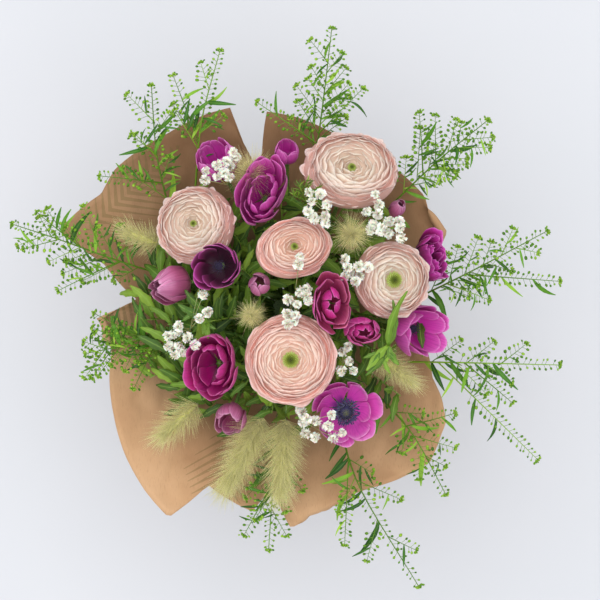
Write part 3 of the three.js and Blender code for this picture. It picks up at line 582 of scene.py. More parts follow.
# %% One anemone petal
def anemone_petal(shape, matrix, size, form, stretch, ruffle, turn, half_angle):
    """size is the whorl's radius and height in millimetres."""
    reaches, rises = ANEMONE_FORMS[form]
    taller, wider = random.uniform(0.86, 1.05), random.uniform(0.94, 1.04)
    opening = random.uniform(-0.22, 0.06) * (0.4 + ruffle)
    wave, beat, fold = random.uniform(0, 6), random.uniform(0, 6), random.uniform(0.6, 1.2)
    twist, skew = random.uniform(-0.5, 0.5) * ruffle, random.uniform(-0.22, 0.22) * ruffle
    petal_stops = (0, 0.3, 0.66, 1)

    def place(u, v):
        t = v * (1 - 0.26 * abs(u) ** 2.6 - 0.03 * math.exp(-((u / 0.12) ** 2)))
        r = np.interp(t, petal_stops, reaches) * (1 + 0.08 * u) * wider
        r += opening * t * t - 0.07 * fold * u * u * t
        z = np.interp(t, petal_stops, rises) * taller
        r += math.sin(u * 5 + wave) * 0.07 * ruffle * t**3
        r += math.sin(u * 12 + beat) * 0.03 * ruffle * t**4
        z += (math.sin(u * 8 + beat) * 0.06 * ruffle + skew * u) * t**3
        a = turn + u * half_angle * (0.4 + 0.6 * math.sin(math.pi / 2 * min(1, t / 0.62)))
        a += twist * t * t
        spot = Vector((r * math.cos(a) * stretch[0], r * math.sin(a) * stretch[1], 0)) * size[0]
        spot.z = z * size[1]
        return matrix @ spot

    add_blade(shape, 10, 8, place)


# %% Fourteen anemones
for name, bloom in ANEMONES.items():
    at, tilt, bearing, radius, height, petals, form, inner, stretch, roll, ruffle, finish = bloom
    direction = leaning(tilt, bearing)
    matrix = stand(Vector(at) - direction * height / 2, direction, roll)
    shape = new_shape()
    whorls = [(1.0, 0.96, form), (0.86, 0.94, form), (0.66, 0.98, inner)]
    if form == inner and ruffle <= 0.3:
        whorls = whorls[:2]
    for wide, tall, whorl_form in whorls:
        start = random.uniform(0, 6)
        for petal in range(petals):
            turn = start + math.tau * petal / petals + random.uniform(-0.12, 0.12)
            half = math.pi / petals * random.uniform(1.0, 1.25)
            size = (radius * wide, height * tall)
            anemone_petal(shape, matrix, size, whorl_form, stretch, ruffle, turn, half)
    back = coral if name in ("folded", "small_folded") else finish
    make_piece(f"anemone_{name}_petals", shape, [finish, back], [f"anemone_{name}"], 0.35, 1)

# %% [markdown]
# ## Dark centres
#
# The middle of an anemone is a velvety button of pistils with a ring of blue-black anthers on
# fine filaments. The button is the same dome of cones as a ranunculus eye, only denser, and
# each anther is a cone-shaped grain set on a bent hair that leans out from under the button.

# %% Anther finish
# Pollen scatters light every way, so ripe anthers are velvety, with a blue bloom at the rim.
anther, tree, shader = new_finish("anemone_anther_blue_black", 0.75, Sheen_Weight=0.2)
part, _ = read_grain(tree)
tone = add(
    tree,
    "ValToRGB",
    {"Fac": part.outputs["Red"]},
    [(0.0, "8a8f4a"), (0.3, "5d6140"), (0.5, "1d1a38"), (0.8, "15132c"), (1.0, "332a5e")],
)
link_surface(tree, shader, tone)
# In the cups the anthers are still shut: a button of near-black violet.
soot, tree, shader = new_finish("anemone_button_black_violet", 0.8, Sheen_Weight=0.1)
part, _ = read_grain(tree)
tone = add(tree, "ValToRGB", {"Fac": part.outputs["Blue"]}, [(0.0, "0f0c1c"), (1.0, "2c1f44")])
link_surface(tree, shader, tone)


# %% Three dark centres
def add_tube(shape, points, radii, sides=3):
    """A bent rod: a circle pushed along the points by extruding its rim."""
    grain = shape.verts.layers.float_color["grain"]
    tint = random.random()
    rim = bmesh.ops.create_circle(shape, cap_ends=False, segments=sides, radius=1)["verts"]
    corners = [corner.co.copy() for corner in rim]
    edges = list({edge for corner in rim for edge in corner.link_edges})
    for number, point in enumerate(points):
        ahead = points[min(number + 1, len(points) - 1)]
        behind = points[max(number - 1, 0)]
        turn = (ahead - behind).to_track_quat("Z", "Y").to_matrix()
        if number:
            made = bmesh.ops.extrude_edge_only(shape, edges=edges)["geom"]
            edges = [item for item in made if isinstance(item, bmesh.types.BMEdge)]
            rim = [item for item in made if isinstance(item, bmesh.types.BMVert)]
        for corner, flat in zip(rim, corners):
            corner.co = point + turn @ (flat * radii[number])
            corner[grain] = (0.5, number / (len(points) - 1), tint, 1)


for name in ("open", "cup_left", "cup_right"):
    at, tilt, bearing, radius, height = ANEMONES[name][:5]
    size = 10 if name == "open" else 5
    direction = leaning(tilt, bearing)
    lift = height * -0.26 + size * 0.7 + 0.3
    matrix = stand(Vector(at) + direction * lift, direction)
    shape = new_shape()
    add_cones(shape, matrix, size * 0.62, size * 0.45, 110, size * 0.07, size * 0.3)
    add_ball(shape, matrix, size * 0.62, (1, 1, 0.66))
    for i in range(150 if name == "open" else 40):
        way = leaning(random.uniform(46, 82), i * GOLDEN_ANGLE)
        reach = size * random.uniform(0.78, 1.12)
        tip = way * reach
        knee = way * reach * 0.6 + Vector((0, 0, -size * 0.08))
        line = [matrix @ Vector((0, 0, -size * 0.2)), matrix @ knee, matrix @ tip]
        add_tube(shape, line, [size * 0.012 * MM] * 3)
        head = matrix @ Matrix.Translation(tip) @ facing(way)
        add_cone(shape, head, 5, size * 0.06, size * 0.035, size * 0.16)
    finish = anther if name == "open" else soot
    node = f"anemone_{name}_centre"
    make_piece(f"{node}_anthers", shape, [finish], [node])

# %% [markdown]
# ## The wrapper
#
# The wrapper is a wide band of kraft paper, gathered at the neck and flared into four flaps
# with slits between them. Kraft is strong and stiff: it falls in straight pleats at the neck,
# rolls over at its free edges and keeps small creases where a hand has been. One grid is
# bent into the band: across it runs round the bunch, and along it runs from the skirt's hem to
# the rim. Its inner face is printed, with a painted shade over the far flaps, so the wall that
# Solidify adds gets a finish of its own.

# %% The rim in plan, millimetres, anticlockwise from the right
RIM = [
    (105, 6), (116, 34), (127, 60), (120, 70), (109, 85), (86, 107), (56, 126), (34, 137),
    (11, 147), (-15, 152), (-19, 117), (-24, 111), (-34, 130), (-41, 155), (-60, 150),
    (-90, 135), (-131, 107), (-142, 88), (-174, 60), (-141, 34), (-116, 6), (-148, -8),
    (-136, -39), (-137, -54), (-133, -84), (-124, -114), (-109, -140), (-90, -161),
    (-60, -137), (-26, -157), (-15, -144), (-8, -146), (4, -170), (35, -153), (64, -140),
    (103, -125), (112, -119), (120, -99), (124, -89), (121, -70), (114, -54), (109, -28),
]
rim_bearings = np.array([math.atan2(y, x) % math.tau for x, y in RIM])
rim_reaches = np.array([math.hypot(x, y) for x, y in RIM])
order = np.argsort(rim_bearings)
rim_bearings, rim_reaches = rim_bearings[order], rim_reaches[order]
print("rim, mm from the middle:", round(rim_reaches.min()), "to", round(rim_reaches.max()))

PLEATS = 27
# The profile in millimetres, as (radius, height): the skirt's hem, the tie and the collar over it,
# where the flaps begin. The shares say how much of the sheet lies below the tie and the collar.
HEM_RADIUS, HEM = 42, 68
NECK_RADIUS, NECK = 17.7, 115
COLLAR_RADIUS, COLLAR = 24, 127
NECK_SHARE, COLLAR_SHARE = 0.22, 0.28
FLAP_SHARE = 1 - COLLAR_SHARE
# How far a flap could rise over the collar, and how far out its rise and its pleats fade.
FLAP_RISE, RISE_FADE, PLEAT_FADE = 148, 95, 34
# Where the rim is rolled: the bearing and half width in degrees, and 1 for up or -1 for under.
ROLLS = ((27, 9, 1), (283, 9, -1), (187, 7, 1))
ROLLED = 13
ROLL_RADIUS = 3.6


def paper_spot(bearing, share):
    """A point of the sheet in millimetres; share runs from 0 at the hem to 1 at the rim."""
    reach = np.interp(bearing, rim_bearings, rim_reaches, period=math.tau)
    length = reach - COLLAR_RADIUS
    left = (1 - share) / FLAP_SHARE * length
    bend, way = 0, 1
    for middle, width, up in ROLLS:
        off = (math.degrees(bearing) - middle + 180) % 360 - 180
        near = math.exp(-((off / width) ** 4))
        if near > bend:
            bend, way = near, up
    if share < COLLAR_SHARE or bend < 0.02:
        return paper_flat(bearing, share, reach)
    if left >= ROLLED:
        # The roll takes paper from the sheet, so what is left of it reaches as far as before.
        moved = ROLL_RADIUS + (left - ROLLED) * (length - ROLL_RADIUS) / (length - ROLLED)
        left += (moved - left) * bend
        return paper_flat(bearing, 1 - left * FLAP_SHARE / length, reach)
    start = paper_flat(bearing, 1 - ROLL_RADIUS * FLAP_SHARE / length, reach)
    rim = paper_flat(bearing, 1, reach)
    outward = (rim - start).normalized()
    above = outward.cross(UP).cross(outward).normalized() * way
    angle = (ROLLED - left) / ROLL_RADIUS
    curl = outward * math.sin(angle) + above * (1 - math.cos(angle))
    flat = paper_flat(bearing, share, reach)
    return flat.lerp(start + curl * ROLL_RADIUS, bend)


def paper_flat(bearing, share, reach):
    """The same point before its edge is rolled."""
    pleat = math.asin(math.sin(bearing * PLEATS + 0.5 * math.sin(bearing * 5))) * 2 / math.pi
    if share < NECK_SHARE:
        down = 1 - share / NECK_SHARE
        r = NECK_RADIUS + (HEM_RADIUS - NECK_RADIUS) * down**1.15 + pleat * (1 + 2.4 * down)
        z = NECK - (NECK - HEM) * down
        z += 1.5 * math.sin(bearing * 3) * down
    elif share < COLLAR_SHARE:
        up = (share - NECK_SHARE) / (COLLAR_SHARE - NECK_SHARE)
        r = NECK_RADIUS + (COLLAR_RADIUS - NECK_RADIUS) * up**1.5 + pleat * (1 + 0.8 * up)
        z = NECK + (COLLAR - NECK) * up
    else:
        # The flaps flatten as they go out. Their pleats fade, and broad waves and creases grow.
        far = (reach - COLLAR_RADIUS) * (share - COLLAR_SHARE) / FLAP_SHARE
        r = COLLAR_RADIUS + far
        z = COLLAR + FLAP_RISE * (1 - math.exp(-far / RISE_FADE))
        z += 4 * math.sin(bearing * 3 + 0.6) * (r / 150) ** 2
        z += pleat * 2.4 * math.exp(-far / PLEAT_FADE)
        spot = Vector((math.cos(bearing) * r, math.sin(bearing) * r, z)) / 34
        z += 2.6 * noise.noise(spot) * min(1, far / 60)
        crease = abs(noise.noise(spot * 0.9 + Vector((7, 3, 1))))
        z -= 2.2 * max(0, 1 - crease * 9) * min(1, far / 80)
    return Vector((math.cos(bearing) * r, math.sin(bearing) * r, z))


# %% Kraft paper finishes
def kraft_finish(name, printed):
    """Unbleached sulphate pulp: matt, brown, with long fibres."""
    material, tree, shader = new_finish(name, 0.82, Sheen_Weight=0.05)
    place = add(tree, "TexCoord").outputs["Object"]
    cloud = add(tree, "TexNoise", {"Vector": place, "Scale": 14.0, "Detail": 4.0})
    tone = add(
        tree, "ValToRGB", {"Fac": cloud}, [(0.3, "ad845e"), (0.5, "b8916a"), (0.7, "c29c76")]
    )
    # Fibres are about 0.05 by 3 mm; they are drawn five times as wide, so that they show.
    flat = add(tree, "Mapping", {"Vector": place, "Scale": (1600.0, 200.0, 400.0)})
    fibre = add(tree, "TexNoise", {"Vector": flat, "Scale": 1.0, "Detail": 2.0})
    speck = add(
        tree, "MapRange", {"Value": fibre, "From Min": 0.56, "From Max": 0.74, "To Max": 0.4}
    )
    colour = add(tree, "MixRGB", {"Fac": speck, "Color1": tone, "Color2": linear("96704c")})
    # The printed inner face also carries a painted shade over its far side.
    if printed:
        colour = leaf_print_and_far_shade(tree, place, colour)
    wrinkle = add(tree, "TexNoise", {"Vector": place, "Scale": 60.0, "Detail": 5.0})
    link_surface(tree, shader, colour, wrinkle, 0.3, 0.0012)
    return material


# Where the printed fronds lie, in metres, and how each is turned, in radians.
FRONDS = (
    ((-0.118, 0.092, 0), 0.75),
    ((-0.05, -0.13, 0), 4.5),
    ((-0.128, -0.012, 0), 2.6),
)


def leaf_print_and_far_shade(tree, place, paper):
    """A brown darkening over the sheet's far side, partly the print's own wash and partly painted
    shade of the far flaps, and plain fronds as printed ink.
    """
    spots = add(tree, "SeparateXYZ", {"Vector": place})
    cloud = add(tree, "TexNoise", {"Vector": place, "Scale": 22.0, "Detail": 3.0})
    # Painted shade: the sheet darkens toward its far side, where the flaps face away from the
    # light, laid in with the print's own brown wash.
    edge = add(tree, "Math", {0: cloud, 1: 0.08, 2: spots.outputs["Y"]}, operation="MULTIPLY_ADD")
    far_shade = add(
        tree, "MapRange", {"Value": edge, "From Min": 0.05, "From Max": 0.16, "To Max": 0.7}
    )
    paper = add(tree, "MixRGB", {"Fac": far_shade, "Color1": paper, "Color2": linear("6e4c2e")})
    for spot, turn in FRONDS:
        local = add(
            tree,
            "Mapping",
            {"Vector": place, "Location": spot, "Rotation": (0, 0, turn)},
            vector_type="TEXTURE",
        )
        axis = add(tree, "SeparateXYZ", {"Vector": local})
        side = add(tree, "Math", {0: axis.outputs["Y"]}, operation="ABSOLUTE")
        lean = add(
            tree, "Math", {0: side, 1: -0.9, 2: axis.outputs["X"]}, operation="MULTIPLY_ADD"
        )
        length = add(tree, "Math", {0: axis.outputs["X"]}, operation="ABSOLUTE")
        taper = add(tree, "Math", {0: length, 1: -0.6, 2: 0.03}, operation="MULTIPLY_ADD")
        # One leaflet each 6.5 mm; it narrows from 4 mm at the midrib to 0.8 mm at its tip.
        beat = add(tree, "Math", {0: lean, 1: 0.0065}, operation="FLOORED_MODULO")
        share = add(tree, "Math", {0: side, 1: taper}, operation="DIVIDE")
        width = add(tree, "MapRange", {"Value": share, "To Min": 0.004, "To Max": 0.0008})
        inked = add(tree, "Math", {0: beat, 1: width}, operation="LESS_THAN")
        within = add(tree, "Math", {0: side, 1: taper}, operation="LESS_THAN")
        both = add(tree, "Math", {0: inked, 1: within}, operation="MULTIPLY")
        weak = add(tree, "Math", {0: both, 1: 0.42}, operation="MULTIPLY")
        paper = add(tree, "MixRGB", {"Fac": weak, "Color1": paper, "Color2": linear("6a5f30")})
    return paper


kraft_plain = kraft_finish("kraft_paper_plain", False)
kraft_printed_and_shaded = kraft_finish("kraft_paper_printed_and_shaded_inside", True)

# %% The paper band
shape = new_shape()
COLUMNS, ROWS = 324, 44
add_blade(shape, COLUMNS, ROWS, lambda u, v: paper_spot((u + 1) * math.pi, v) * MM)
bmesh.ops.remove_doubles(shape, verts=shape.verts, dist=1e-6)
make_piece(
    "wrapper_paper_sheet",
    shape,
    [kraft_plain, kraft_printed_and_shaded],
    ["wrapper_paper"],
    0.45,
)

# %% [markdown]
# ## Twine
#
# The neck is tied with two-ply jute. Each turn is two yarns twisted round one another, so each
# yarn is a rod whose centre line circles the turn's own centre line as it goes round the neck.
# The knot and the two tails are made the same way.

# %% Jute finish
# Bast fibre, spun and not glazed: matt, with a pale fuzz that catches the light from the side.
jute, tree, shader = new_finish("jute_twine", 0.9, Sheen_Weight=0.3)
place = add(tree, "TexCoord").outputs["Object"]
fibre = add(tree, "TexNoise", {"Vector": place, "Scale": 900.0, "Detail": 3.0})
tone = add(tree, "ValToRGB", {"Fac": fibre}, [(0.3, "8f7245"), (0.55, "c2a878"), (0.8, "dcc79d")])
link_surface(tree, shader, tone, fibre, 0.6, 0.0004)


# %% Two turns, a knot and two tails
def add_twisted(shape, line, radius, pitch):
    """Two yarns twisted round a line of points, all in millimetres."""
    travelled = 0
    yarns = ([], [])
    for number, point in enumerate(line):
        ahead = line[min(number + 1, len(line) - 1)]
        behind = line[max(number - 1, 0)]
        travelled += (point - behind).length
        turn = (ahead - behind).to_track_quat("Z", "Y").to_matrix()
        for side, yarn in enumerate(yarns):
            angle = math.tau * travelled / pitch + side * math.pi
            offset = turn @ Vector((math.cos(angle), math.sin(angle), 0)) * radius * 0.5
            yarn.append((point + offset) * MM)
    for yarn in yarns:
        add_tube(shape, yarn, [radius * 0.55 * MM] * len(yarn), 6)


TWINE_RING = 21.9
shape = new_shape()
for level in (-1.5, 1.5):
    ring = [
        Vector((math.cos(a) * TWINE_RING, math.sin(a) * TWINE_RING, NECK + level))
        for a in np.linspace(-math.pi / 2, math.pi * 1.5, 150)
    ]
    add_twisted(shape, ring, 1.35, 6)
front = Vector((0, -TWINE_RING - 1, NECK))
loops = [(-3, -1, -1), (-1, -3, 2.4), (2.4, -3, 1), (2.6, -2, -2), (-1, -3.6, -2), (-3, -1, 1)]
add_twisted(shape, through([front + Vector(p) for p in loops], 8), 1.3, 6)
for side in (-1, 1):
    tail = [(0, -1, 0), (side * 5, -5, -2), (side * 8, -7.5, -10), (side * 12, -10, -24)]
    add_twisted(shape, through([front + Vector(p) for p in tail], 10), 1.15, 5)
make_piece("neck_twine_jute", shape, [jute], ["neck_twine"])
bpy.data.objects["stem_binding"].material_slots[0].material = jute

# %% [markdown]
# ## Stems
#
# The stems are one grown thing already: the CAD solid has the spiral, the neck and the forks.
# Only its flat sides betray it. So a copy of it is melted into small even faces by a voxel
# remesh and smoothed, which rounds each stem and softens every fork as a plant does.

# %% Stem finish
# A stem's skin is waxy and faintly ribbed along its length. Its cut end shows pale wet pith.
stem_skin, tree, shader = new_finish("flower_stem_skin", 0.5, Subsurface_Weight=0.05)
place = add(tree, "TexCoord").outputs["Object"]
long_grain = add(tree, "Mapping", {"Vector": place, "Scale": (700.0, 700.0, 60.0)})
streak = add(tree, "TexNoise", {"Vector": long_grain, "Scale": 1.0, "Detail": 3.0})
tone = add(tree, "ValToRGB", {"Fac": streak}, [(0.3, "4a6a2c"), (0.55, "668a41"), (0.8, "8aa45c")])
height = add(tree, "SeparateXYZ", {"Vector": place})
cut = add(tree, "Math", {0: height.outputs["Z"], 1: 0.0012}, operation="LESS_THAN")
ends = add(tree, "MixRGB", {"Fac": cut, "Color1": tone, "Color2": linear("c9cf9a")})
link_surface(tree, shader, ends, streak, 0.4, 0.0004)

# %% Rounded stems
shape = new_shape()
shape.from_mesh(bpy.data.objects["stems"].data)
bmesh.ops.remove_doubles(shape, verts=shape.verts, dist=1e-6)
stems = make_piece("stems_rounded", shape, [stem_skin], ["stems"])
remesh = stems.modifiers.new("even_faces", "REMESH")
remesh.mode = "VOXEL"
remesh.voxel_size = 0.9 * MM
remesh.use_smooth_shade = True
soften = stems.modifiers.new("soften", "SMOOTH")
soften.factor, soften.iterations = 0.5, 3

# %% [markdown]
# ## Sprays of pepper-grass
#
# The light green sprays are pepper-grass: wiry stems that fork again and again, with narrow
# curling leaves low down and a flat round pod on a hair-fine stalk every few millimetres up to
# the tip. The main stem and its twigs follow the CAD lines, and finer side twigs fill in.

# %% Where the sprays run: a path and the twigs that leave it
SPRAYS = {
    "left": ([(-94, 25, 224), (-131, 37, 262), (-169, 51, 285), (-205, 63, 300)],
             [(0.3, (-173, 13, 274)), (0.55, (-187, 72, 296))]),
    "left_low": ([(-90, -16, 222), (-122, -28, 252), (-153, -35, 268)],
                 [(0.3, (-146, -4, 270)), (0.1, (-116, -62, 264))]),
    "far_left": ([(-88, 68, 236), (-98, 115, 266), (-101, 168, 292)],
                 [(0.3, (-141, 100, 280)), (0.5, (-113, 131, 292))]),
    "top_left": ([(-70, 92, 238), (-64, 142, 270), (-49, 194, 296)],
                 [(0.35, (-85, 176, 286)), (0.3, (-84, 150, 282))]),
    "top": ([(22, 110, 236), (28, 152, 264), (35, 211, 292)],
            [(0.3, (59, 166, 290)), (0.2, (-22, 157, 266))]),
    "top_right": ([(80, 78, 236), (116, 112, 268), (152, 141, 302)],
                  [(0.35, (101, 148, 286)), (0.45, (128, 98, 282))]),
    "right": ([(99, 6, 222), (142, 28, 262), (197, 58, 298)],
              [(0.45, (207, 20, 292)), (0.3, (155, 6, 272))]),
    "right_low": ([(95, -42, 228), (142, -42, 264), (207, -43, 290)],
                  [(0.25, (191, -115, 284)), (0.45, (172, -72, 282))]),
    "front_right": ([(72, -68, 222), (98, -98, 252), (122, -142, 272)],
                    [(0.4, (129, -80, 274))]),
    "front": ([(42, -94, 230), (58, -140, 262), (101, -211, 282)],
              [(0.25, (45, -181, 268))]),
    "front_left": ([(-8, -96, 222), (-10, -138, 250), (-13, -185, 264)],
                   [(0.45, (-32, -174, 262))]),
}


# %% Spray finish
def leaf_finish(name, stops, vein_colour):
    """A living leaf: waxy but not glossy, with a paler midrib and a tone of its own."""
    material, tree, shader = new_finish(name, 0.5, Subsurface_Weight=0.06, Specular_IOR_Level=0.25)
    part, _ = read_grain(tree)
    tone = add(tree, "ValToRGB", {"Fac": part.outputs["Blue"]}, stops)
    middle = add(tree, "Math", {0: part.outputs["Red"], 1: 0.5}, operation="SUBTRACT")
    off = add(tree, "Math", {0: middle}, operation="ABSOLUTE")
    rib = add(tree, "MapRange", {"Value": off, "From Max": 0.1, "To Min": 0.5, "To Max": 0.0})
    ribbed = add(tree, "MixRGB", {"Fac": rib, "Color1": tone, "Color2": linear(vein_colour)})
    place = add(tree, "TexCoord").outputs["Object"]
    blotch = add(tree, "TexNoise", {"Vector": place, "Scale": 160.0, "Detail": 3.0})
    level = add(tree, "MapRange", {"Value": blotch, "To Min": 0.75, "To Max": 1.25})
    toned = add(tree, "HueSaturation", {"Color": ribbed, "Value": level})
    link_surface(tree, shader, toned, blotch, 0.3, 0.0005)
    return material


spray_green = leaf_finish(
    "pepper_grass_leaf",
    [(0.0, "1e480e"), (0.4, "346612"), (0.7, "56881a"), (0.85, "76a228"), (1.0, "96ba38")],
    "669428",
)
leaf_green = leaf_finish(
    "anemone_leaf", [(0.0, "2e4c1a"), (0.5, "507620"), (1.0, "7e9e30")], "90b24c"
)


# %% Leaves and pods
def add_leaf(shape, root, direction, length, width, curl, cuts=0, along=5):
    """A leaf in millimetres; cuts is how deep its edge is lobed and curl how far it bends down."""
    side = direction.cross(UP)
    side = side.normalized() if side.length > 0.01 else Vector((1, 0, 0))
    lift = side.cross(direction).normalized()
    beat = random.uniform(0, 6)
    sway = random.uniform(-0.4, 0.4)

    def place(u, v):
        half = width * 0.5 * (0.16 + 0.84 * math.sin(math.pi * min(1, v * 0.92 + 0.06)))
        half *= 1 - cuts * (0.5 + 0.5 * math.sin(v * 17 + beat))
        spot = root + direction * length * (v - 0.18 * curl * v * v)
        spot += side * (u * half + sway * length * v * v)
        spot += lift * (abs(u) * half * 0.45 - curl * length * 0.5 * v * v)
        return spot * MM

    add_blade(shape, 2, along, place)


def add_pod(shape, centre, direction, radius, tint):
    """A flat round pod, thicker in its middle; tint runs from a ripe green to a young one."""
    turn = direction.to_track_quat("X", "Z").to_matrix().to_4x4()
    matrix = Matrix.Scale(MM, 4) @ Matrix.Translation(centre) @ turn
    grain = shape.verts.layers.float_color["grain"]
    for corner in add_ball(shape, matrix, radius, (1.15, 0.85, 0.32), 1):
        corner[grain] = (0.8, 0.5, tint, 1)


# %% One stem with its leaves and pods
def along(line, share):
    """The point and the direction at a share of a line of points."""
    place = share * (len(line) - 1)
    number = min(int(place), len(line) - 2)
    step = line[number + 1] - line[number]
    return line[number] + step * (place - number), step.normalized()


def grow(shape, line, radius, leaves, leaf_length, bare):
    """Leaves from the foot up, pods from the share bare on, and a tuft of buds at the tip."""
    steps = len(line)
    radii = [radius * MM * (1 - 0.62 * i / (steps - 1)) for i in range(steps)]
    add_tube(shape, [point * MM for point in line], radii, 4)
    length = sum((b - a).length for a, b in zip(line, line[1:]))
    for i in range(leaves):
        root, ahead = along(line, 0.06 + 0.66 * (i + random.random()) / leaves)
        out = ahead.cross(leaning(random.uniform(0, 50), i * GOLDEN_ANGLE)).normalized()
        direction = (ahead * random.uniform(0.3, 1.2) + out + UP * 0.15).normalized()
        size = leaf_length * random.uniform(0.6, 1.2)
        add_leaf(shape, root, direction, size, size * size * 0.005 + 0.7, random.uniform(0.2, 1.6))
    count = int(length * (1 - bare) / 2.1)
    for i in range(count):
        share = bare + (1 - bare) * (i + random.random()) / count
        root, ahead = along(line, share)
        side = ahead.cross(UP).normalized() * (1 if i % 2 else -1)
        direction = (ahead * 0.5 + side + UP * random.uniform(-0.7, 0.7)).normalized()
        stalk = 6.8 - 4.2 * share + random.uniform(-0.7, 0.7)
        end = root + direction * stalk
        add_tube(shape, [root * MM, end * MM], [0.2 * MM, 0.16 * MM])
        size = (1.8 - 0.7 * share) * random.uniform(0.75, 1.1)
        add_pod(shape, end + direction * 0.9, direction, size, random.uniform(0.4, 0.95))
    tip, ahead = along(line, 1)
    for i in range(18):
        way = leaning(20 + 65 * (i / 18) ** 0.5, i * GOLDEN_ANGLE)
        way.rotate(UP.rotation_difference(ahead))
        spot = tip + way * random.uniform(1.2, 2.8) - ahead
        add_pod(shape, spot, way, random.uniform(0.8, 1.1), random.uniform(0.65, 1))


# %% Eleven sprays
# How many fine side twigs the sprays have. Those that aren't named have five.
TWIGLETS = {"left": 13, "left_low": 13, "top": 11, "top_right": 12, "right": 10, "top_left": 3}
for name, (path, twigs) in SPRAYS.items():
    shape = new_shape()
    main = through(path, 6)
    grow(shape, main, 0.8, 7, 24, 0.42)
    for share, tip in twigs:
        root, ahead = along(main, share)
        tip = Vector(tip)
        middle = root.lerp(tip, 0.5) + UP * 6
        grow(shape, through([root, middle, tip], 5), 0.6, 3, 20, 0.3)
    twiglets = TWIGLETS.get(name, 5)
    for i in range(twiglets):
        share = 0.14 + 0.66 * (i + random.random()) / twiglets
        root, ahead = along(main, share)
        out = ahead.cross(UP).normalized() * (1 if i % 2 else -1)
        reach = random.uniform(20, 38) * (1.15 - share * 0.6)
        tip = root + (ahead * 0.9 + out * random.uniform(0.5, 0.9)) * reach
        tip += UP * random.uniform(-3, 7)
        middle = root.lerp(tip, 0.5) + UP * 2
        leaves = 3 if share < 0.4 else 1
        grow(shape, through([root, middle, tip], 3), 0.42, leaves, 15, 0.2)
    node = f"spray_{name}"
    make_piece(f"{node}_pepper_grass", shape, [spray_green], [node])

# %% [markdown]
# ## Grass heads
#
# The fluffy heads are ornamental grass: a spike of small husks, each with bristles that stand
# off it and glint gold at their tips. A bristle is a hair far finer than a pixel, so each is
# drawn as a thin three-sided cone, and 600 to 2300 of them by the golden angle make a brush.

# %% Where the grass heads are
GRASS_HEADS = {
    "top": ((-26, 100, 262), (-26, 103, 290), 26, 900),
    "middle_right": ((49, 57, 292), (50, 54, 320), 22, 800),
    "middle_left": ((-26, -6, 294), (-25, -5, 320), 17, 600),
    "plume_left": ((-16, -80, 262), (-46, -138, 266), 26, 2300),
    "plume_right": ((0, -82, 264), (-4, -142, 268), 25, 2300),
    "front_left": ((-66, -72, 256), (-94, -98, 266), 22, 1000),
    "right": ((68, -34, 262), (96, -56, 268), 20, 1000),
    "far_left": ((-96, 48, 256), (-122, 58, 266), 19, 800),
}

# Dry glassy hairs: green where they leave the husk and straw gold at their tips.
bristle, tree, shader = new_finish("grass_bristle_golden_green", 0.55, Sheen_Weight=0.3)
part, _ = read_grain(tree)
tone = add(
    tree,
    "ValToRGB",
    {"Fac": part.outputs["Green"]},
    [(0.0, "c2c666"), (0.4, "e4de90"), (0.8, "f4e6b0"), (1.0, "f4d294")],
)
level = add(tree, "MapRange", {"Value": part.outputs["Blue"], "To Min": 0.8, "To Max": 1.15})
toned = add(tree, "HueSaturation", {"Color": tone, "Value": level})
link_surface(tree, shader, toned)


# %% Bristles and husks
def add_bristle(shape, root, direction, length, radius):
    """A thin cone from its root, with the way along it as its grain."""
    grain = shape.verts.layers.float_color["grain"]
    tint = random.random()
    middle = Matrix.Translation(root + direction * length / 2)
    matrix = Matrix.Scale(MM, 4) @ middle @ facing(direction)
    for number, corner in enumerate(add_cone(shape, matrix, 3, radius, radius * 0.3, length)):
        corner[grain] = (0.5, 0 if number < 3 else 1, tint, 1)


for name, (foot, tip, reach, count) in GRASS_HEADS.items():
    foot, axis = Vector(foot), Vector(tip) - Vector(foot)
    length, direction = axis.length, axis.normalized()
    turn = UP.rotation_difference(direction)
    shape = new_shape()
    grain = shape.verts.layers.float_color["grain"]
    core = stand(foot + axis * 0.5, direction)
    for corner in add_ball(shape, core, 1, (2.6, 2.6, length * 0.47)):
        corner[grain] = (0.5, 0.1, 0.4, 1)
    for i in range(count):
        share = (i + 0.5) / count
        out = leaning(66 - share * 44 + random.uniform(-18, 14), i * GOLDEN_ANGLE)
        out.rotate(turn)
        root = foot + axis * (0.06 + share * 0.84)
        add_bristle(shape, root, out, reach * random.uniform(0.4, 1.05), 0.13)
        if i % 4 == 0:
            add_bristle(shape, root, out, 4.6, 0.7)
    node = f"grass_{name}"
    make_piece(f"{node}_bristles", shape, [bristle], [node])

# %% [markdown]
# ## Gypsophila
#
# Gypsophila is a cloud of tiny double flowers on hair-fine stalks. Each flower is a frilled
# button of white petals, no bigger than a pea. Two dozen small blades bent up and out make one
# flower, and each bunch has the CAD's florets with as many more set beside them.

# %% Where the gypsophila is: a hub between the blooms and the florets round it
GYPSOPHILA = {
    "top_left": ((-44, 93, 284), [(-51, 107, 300), (-44, 110, 302), (-46, 101, 302),
                                  (-60, 96, 297), (-37, 113, 296)]),
    "top": ((31, 71, 302), [(31, 76, 333), (17, 71, 339), (26, 84, 330), (22, 66, 340)]),
    "right": ((74, 62, 294), [(70, 77, 310), (69, 70, 314), (77, 64, 318), (85, 64, 314),
                              (65, 62, 318), (71, 57, 320), (86, 52, 322)]),
    "middle": ((7, 8, 306), [(11, 12, 330), (2, 6, 328), (2, -4, 332), (2, -12, 334),
                             (16, 14, 330), (10, 32, 345)]),
    "left": ((-72, -16, 286), [(-80, -14, 302), (-88, -21, 298), (-73, -22, 304),
                               (-87, -29, 297), (-77, -33, 300), (-61, 10, 312), (-58, -3, 312)]),
    "front": ((14, -86, 284), [(11, -76, 304), (13, -85, 304), (23, -84, 310),
                               (32, -88, 310), (15, -94, 302), (36, -97, 306)]),
    "middle_right": ((45, 31, 298), [(48, 27, 318), (55, 31, 326), (52, 20, 328), (44, 36, 322)]),
}

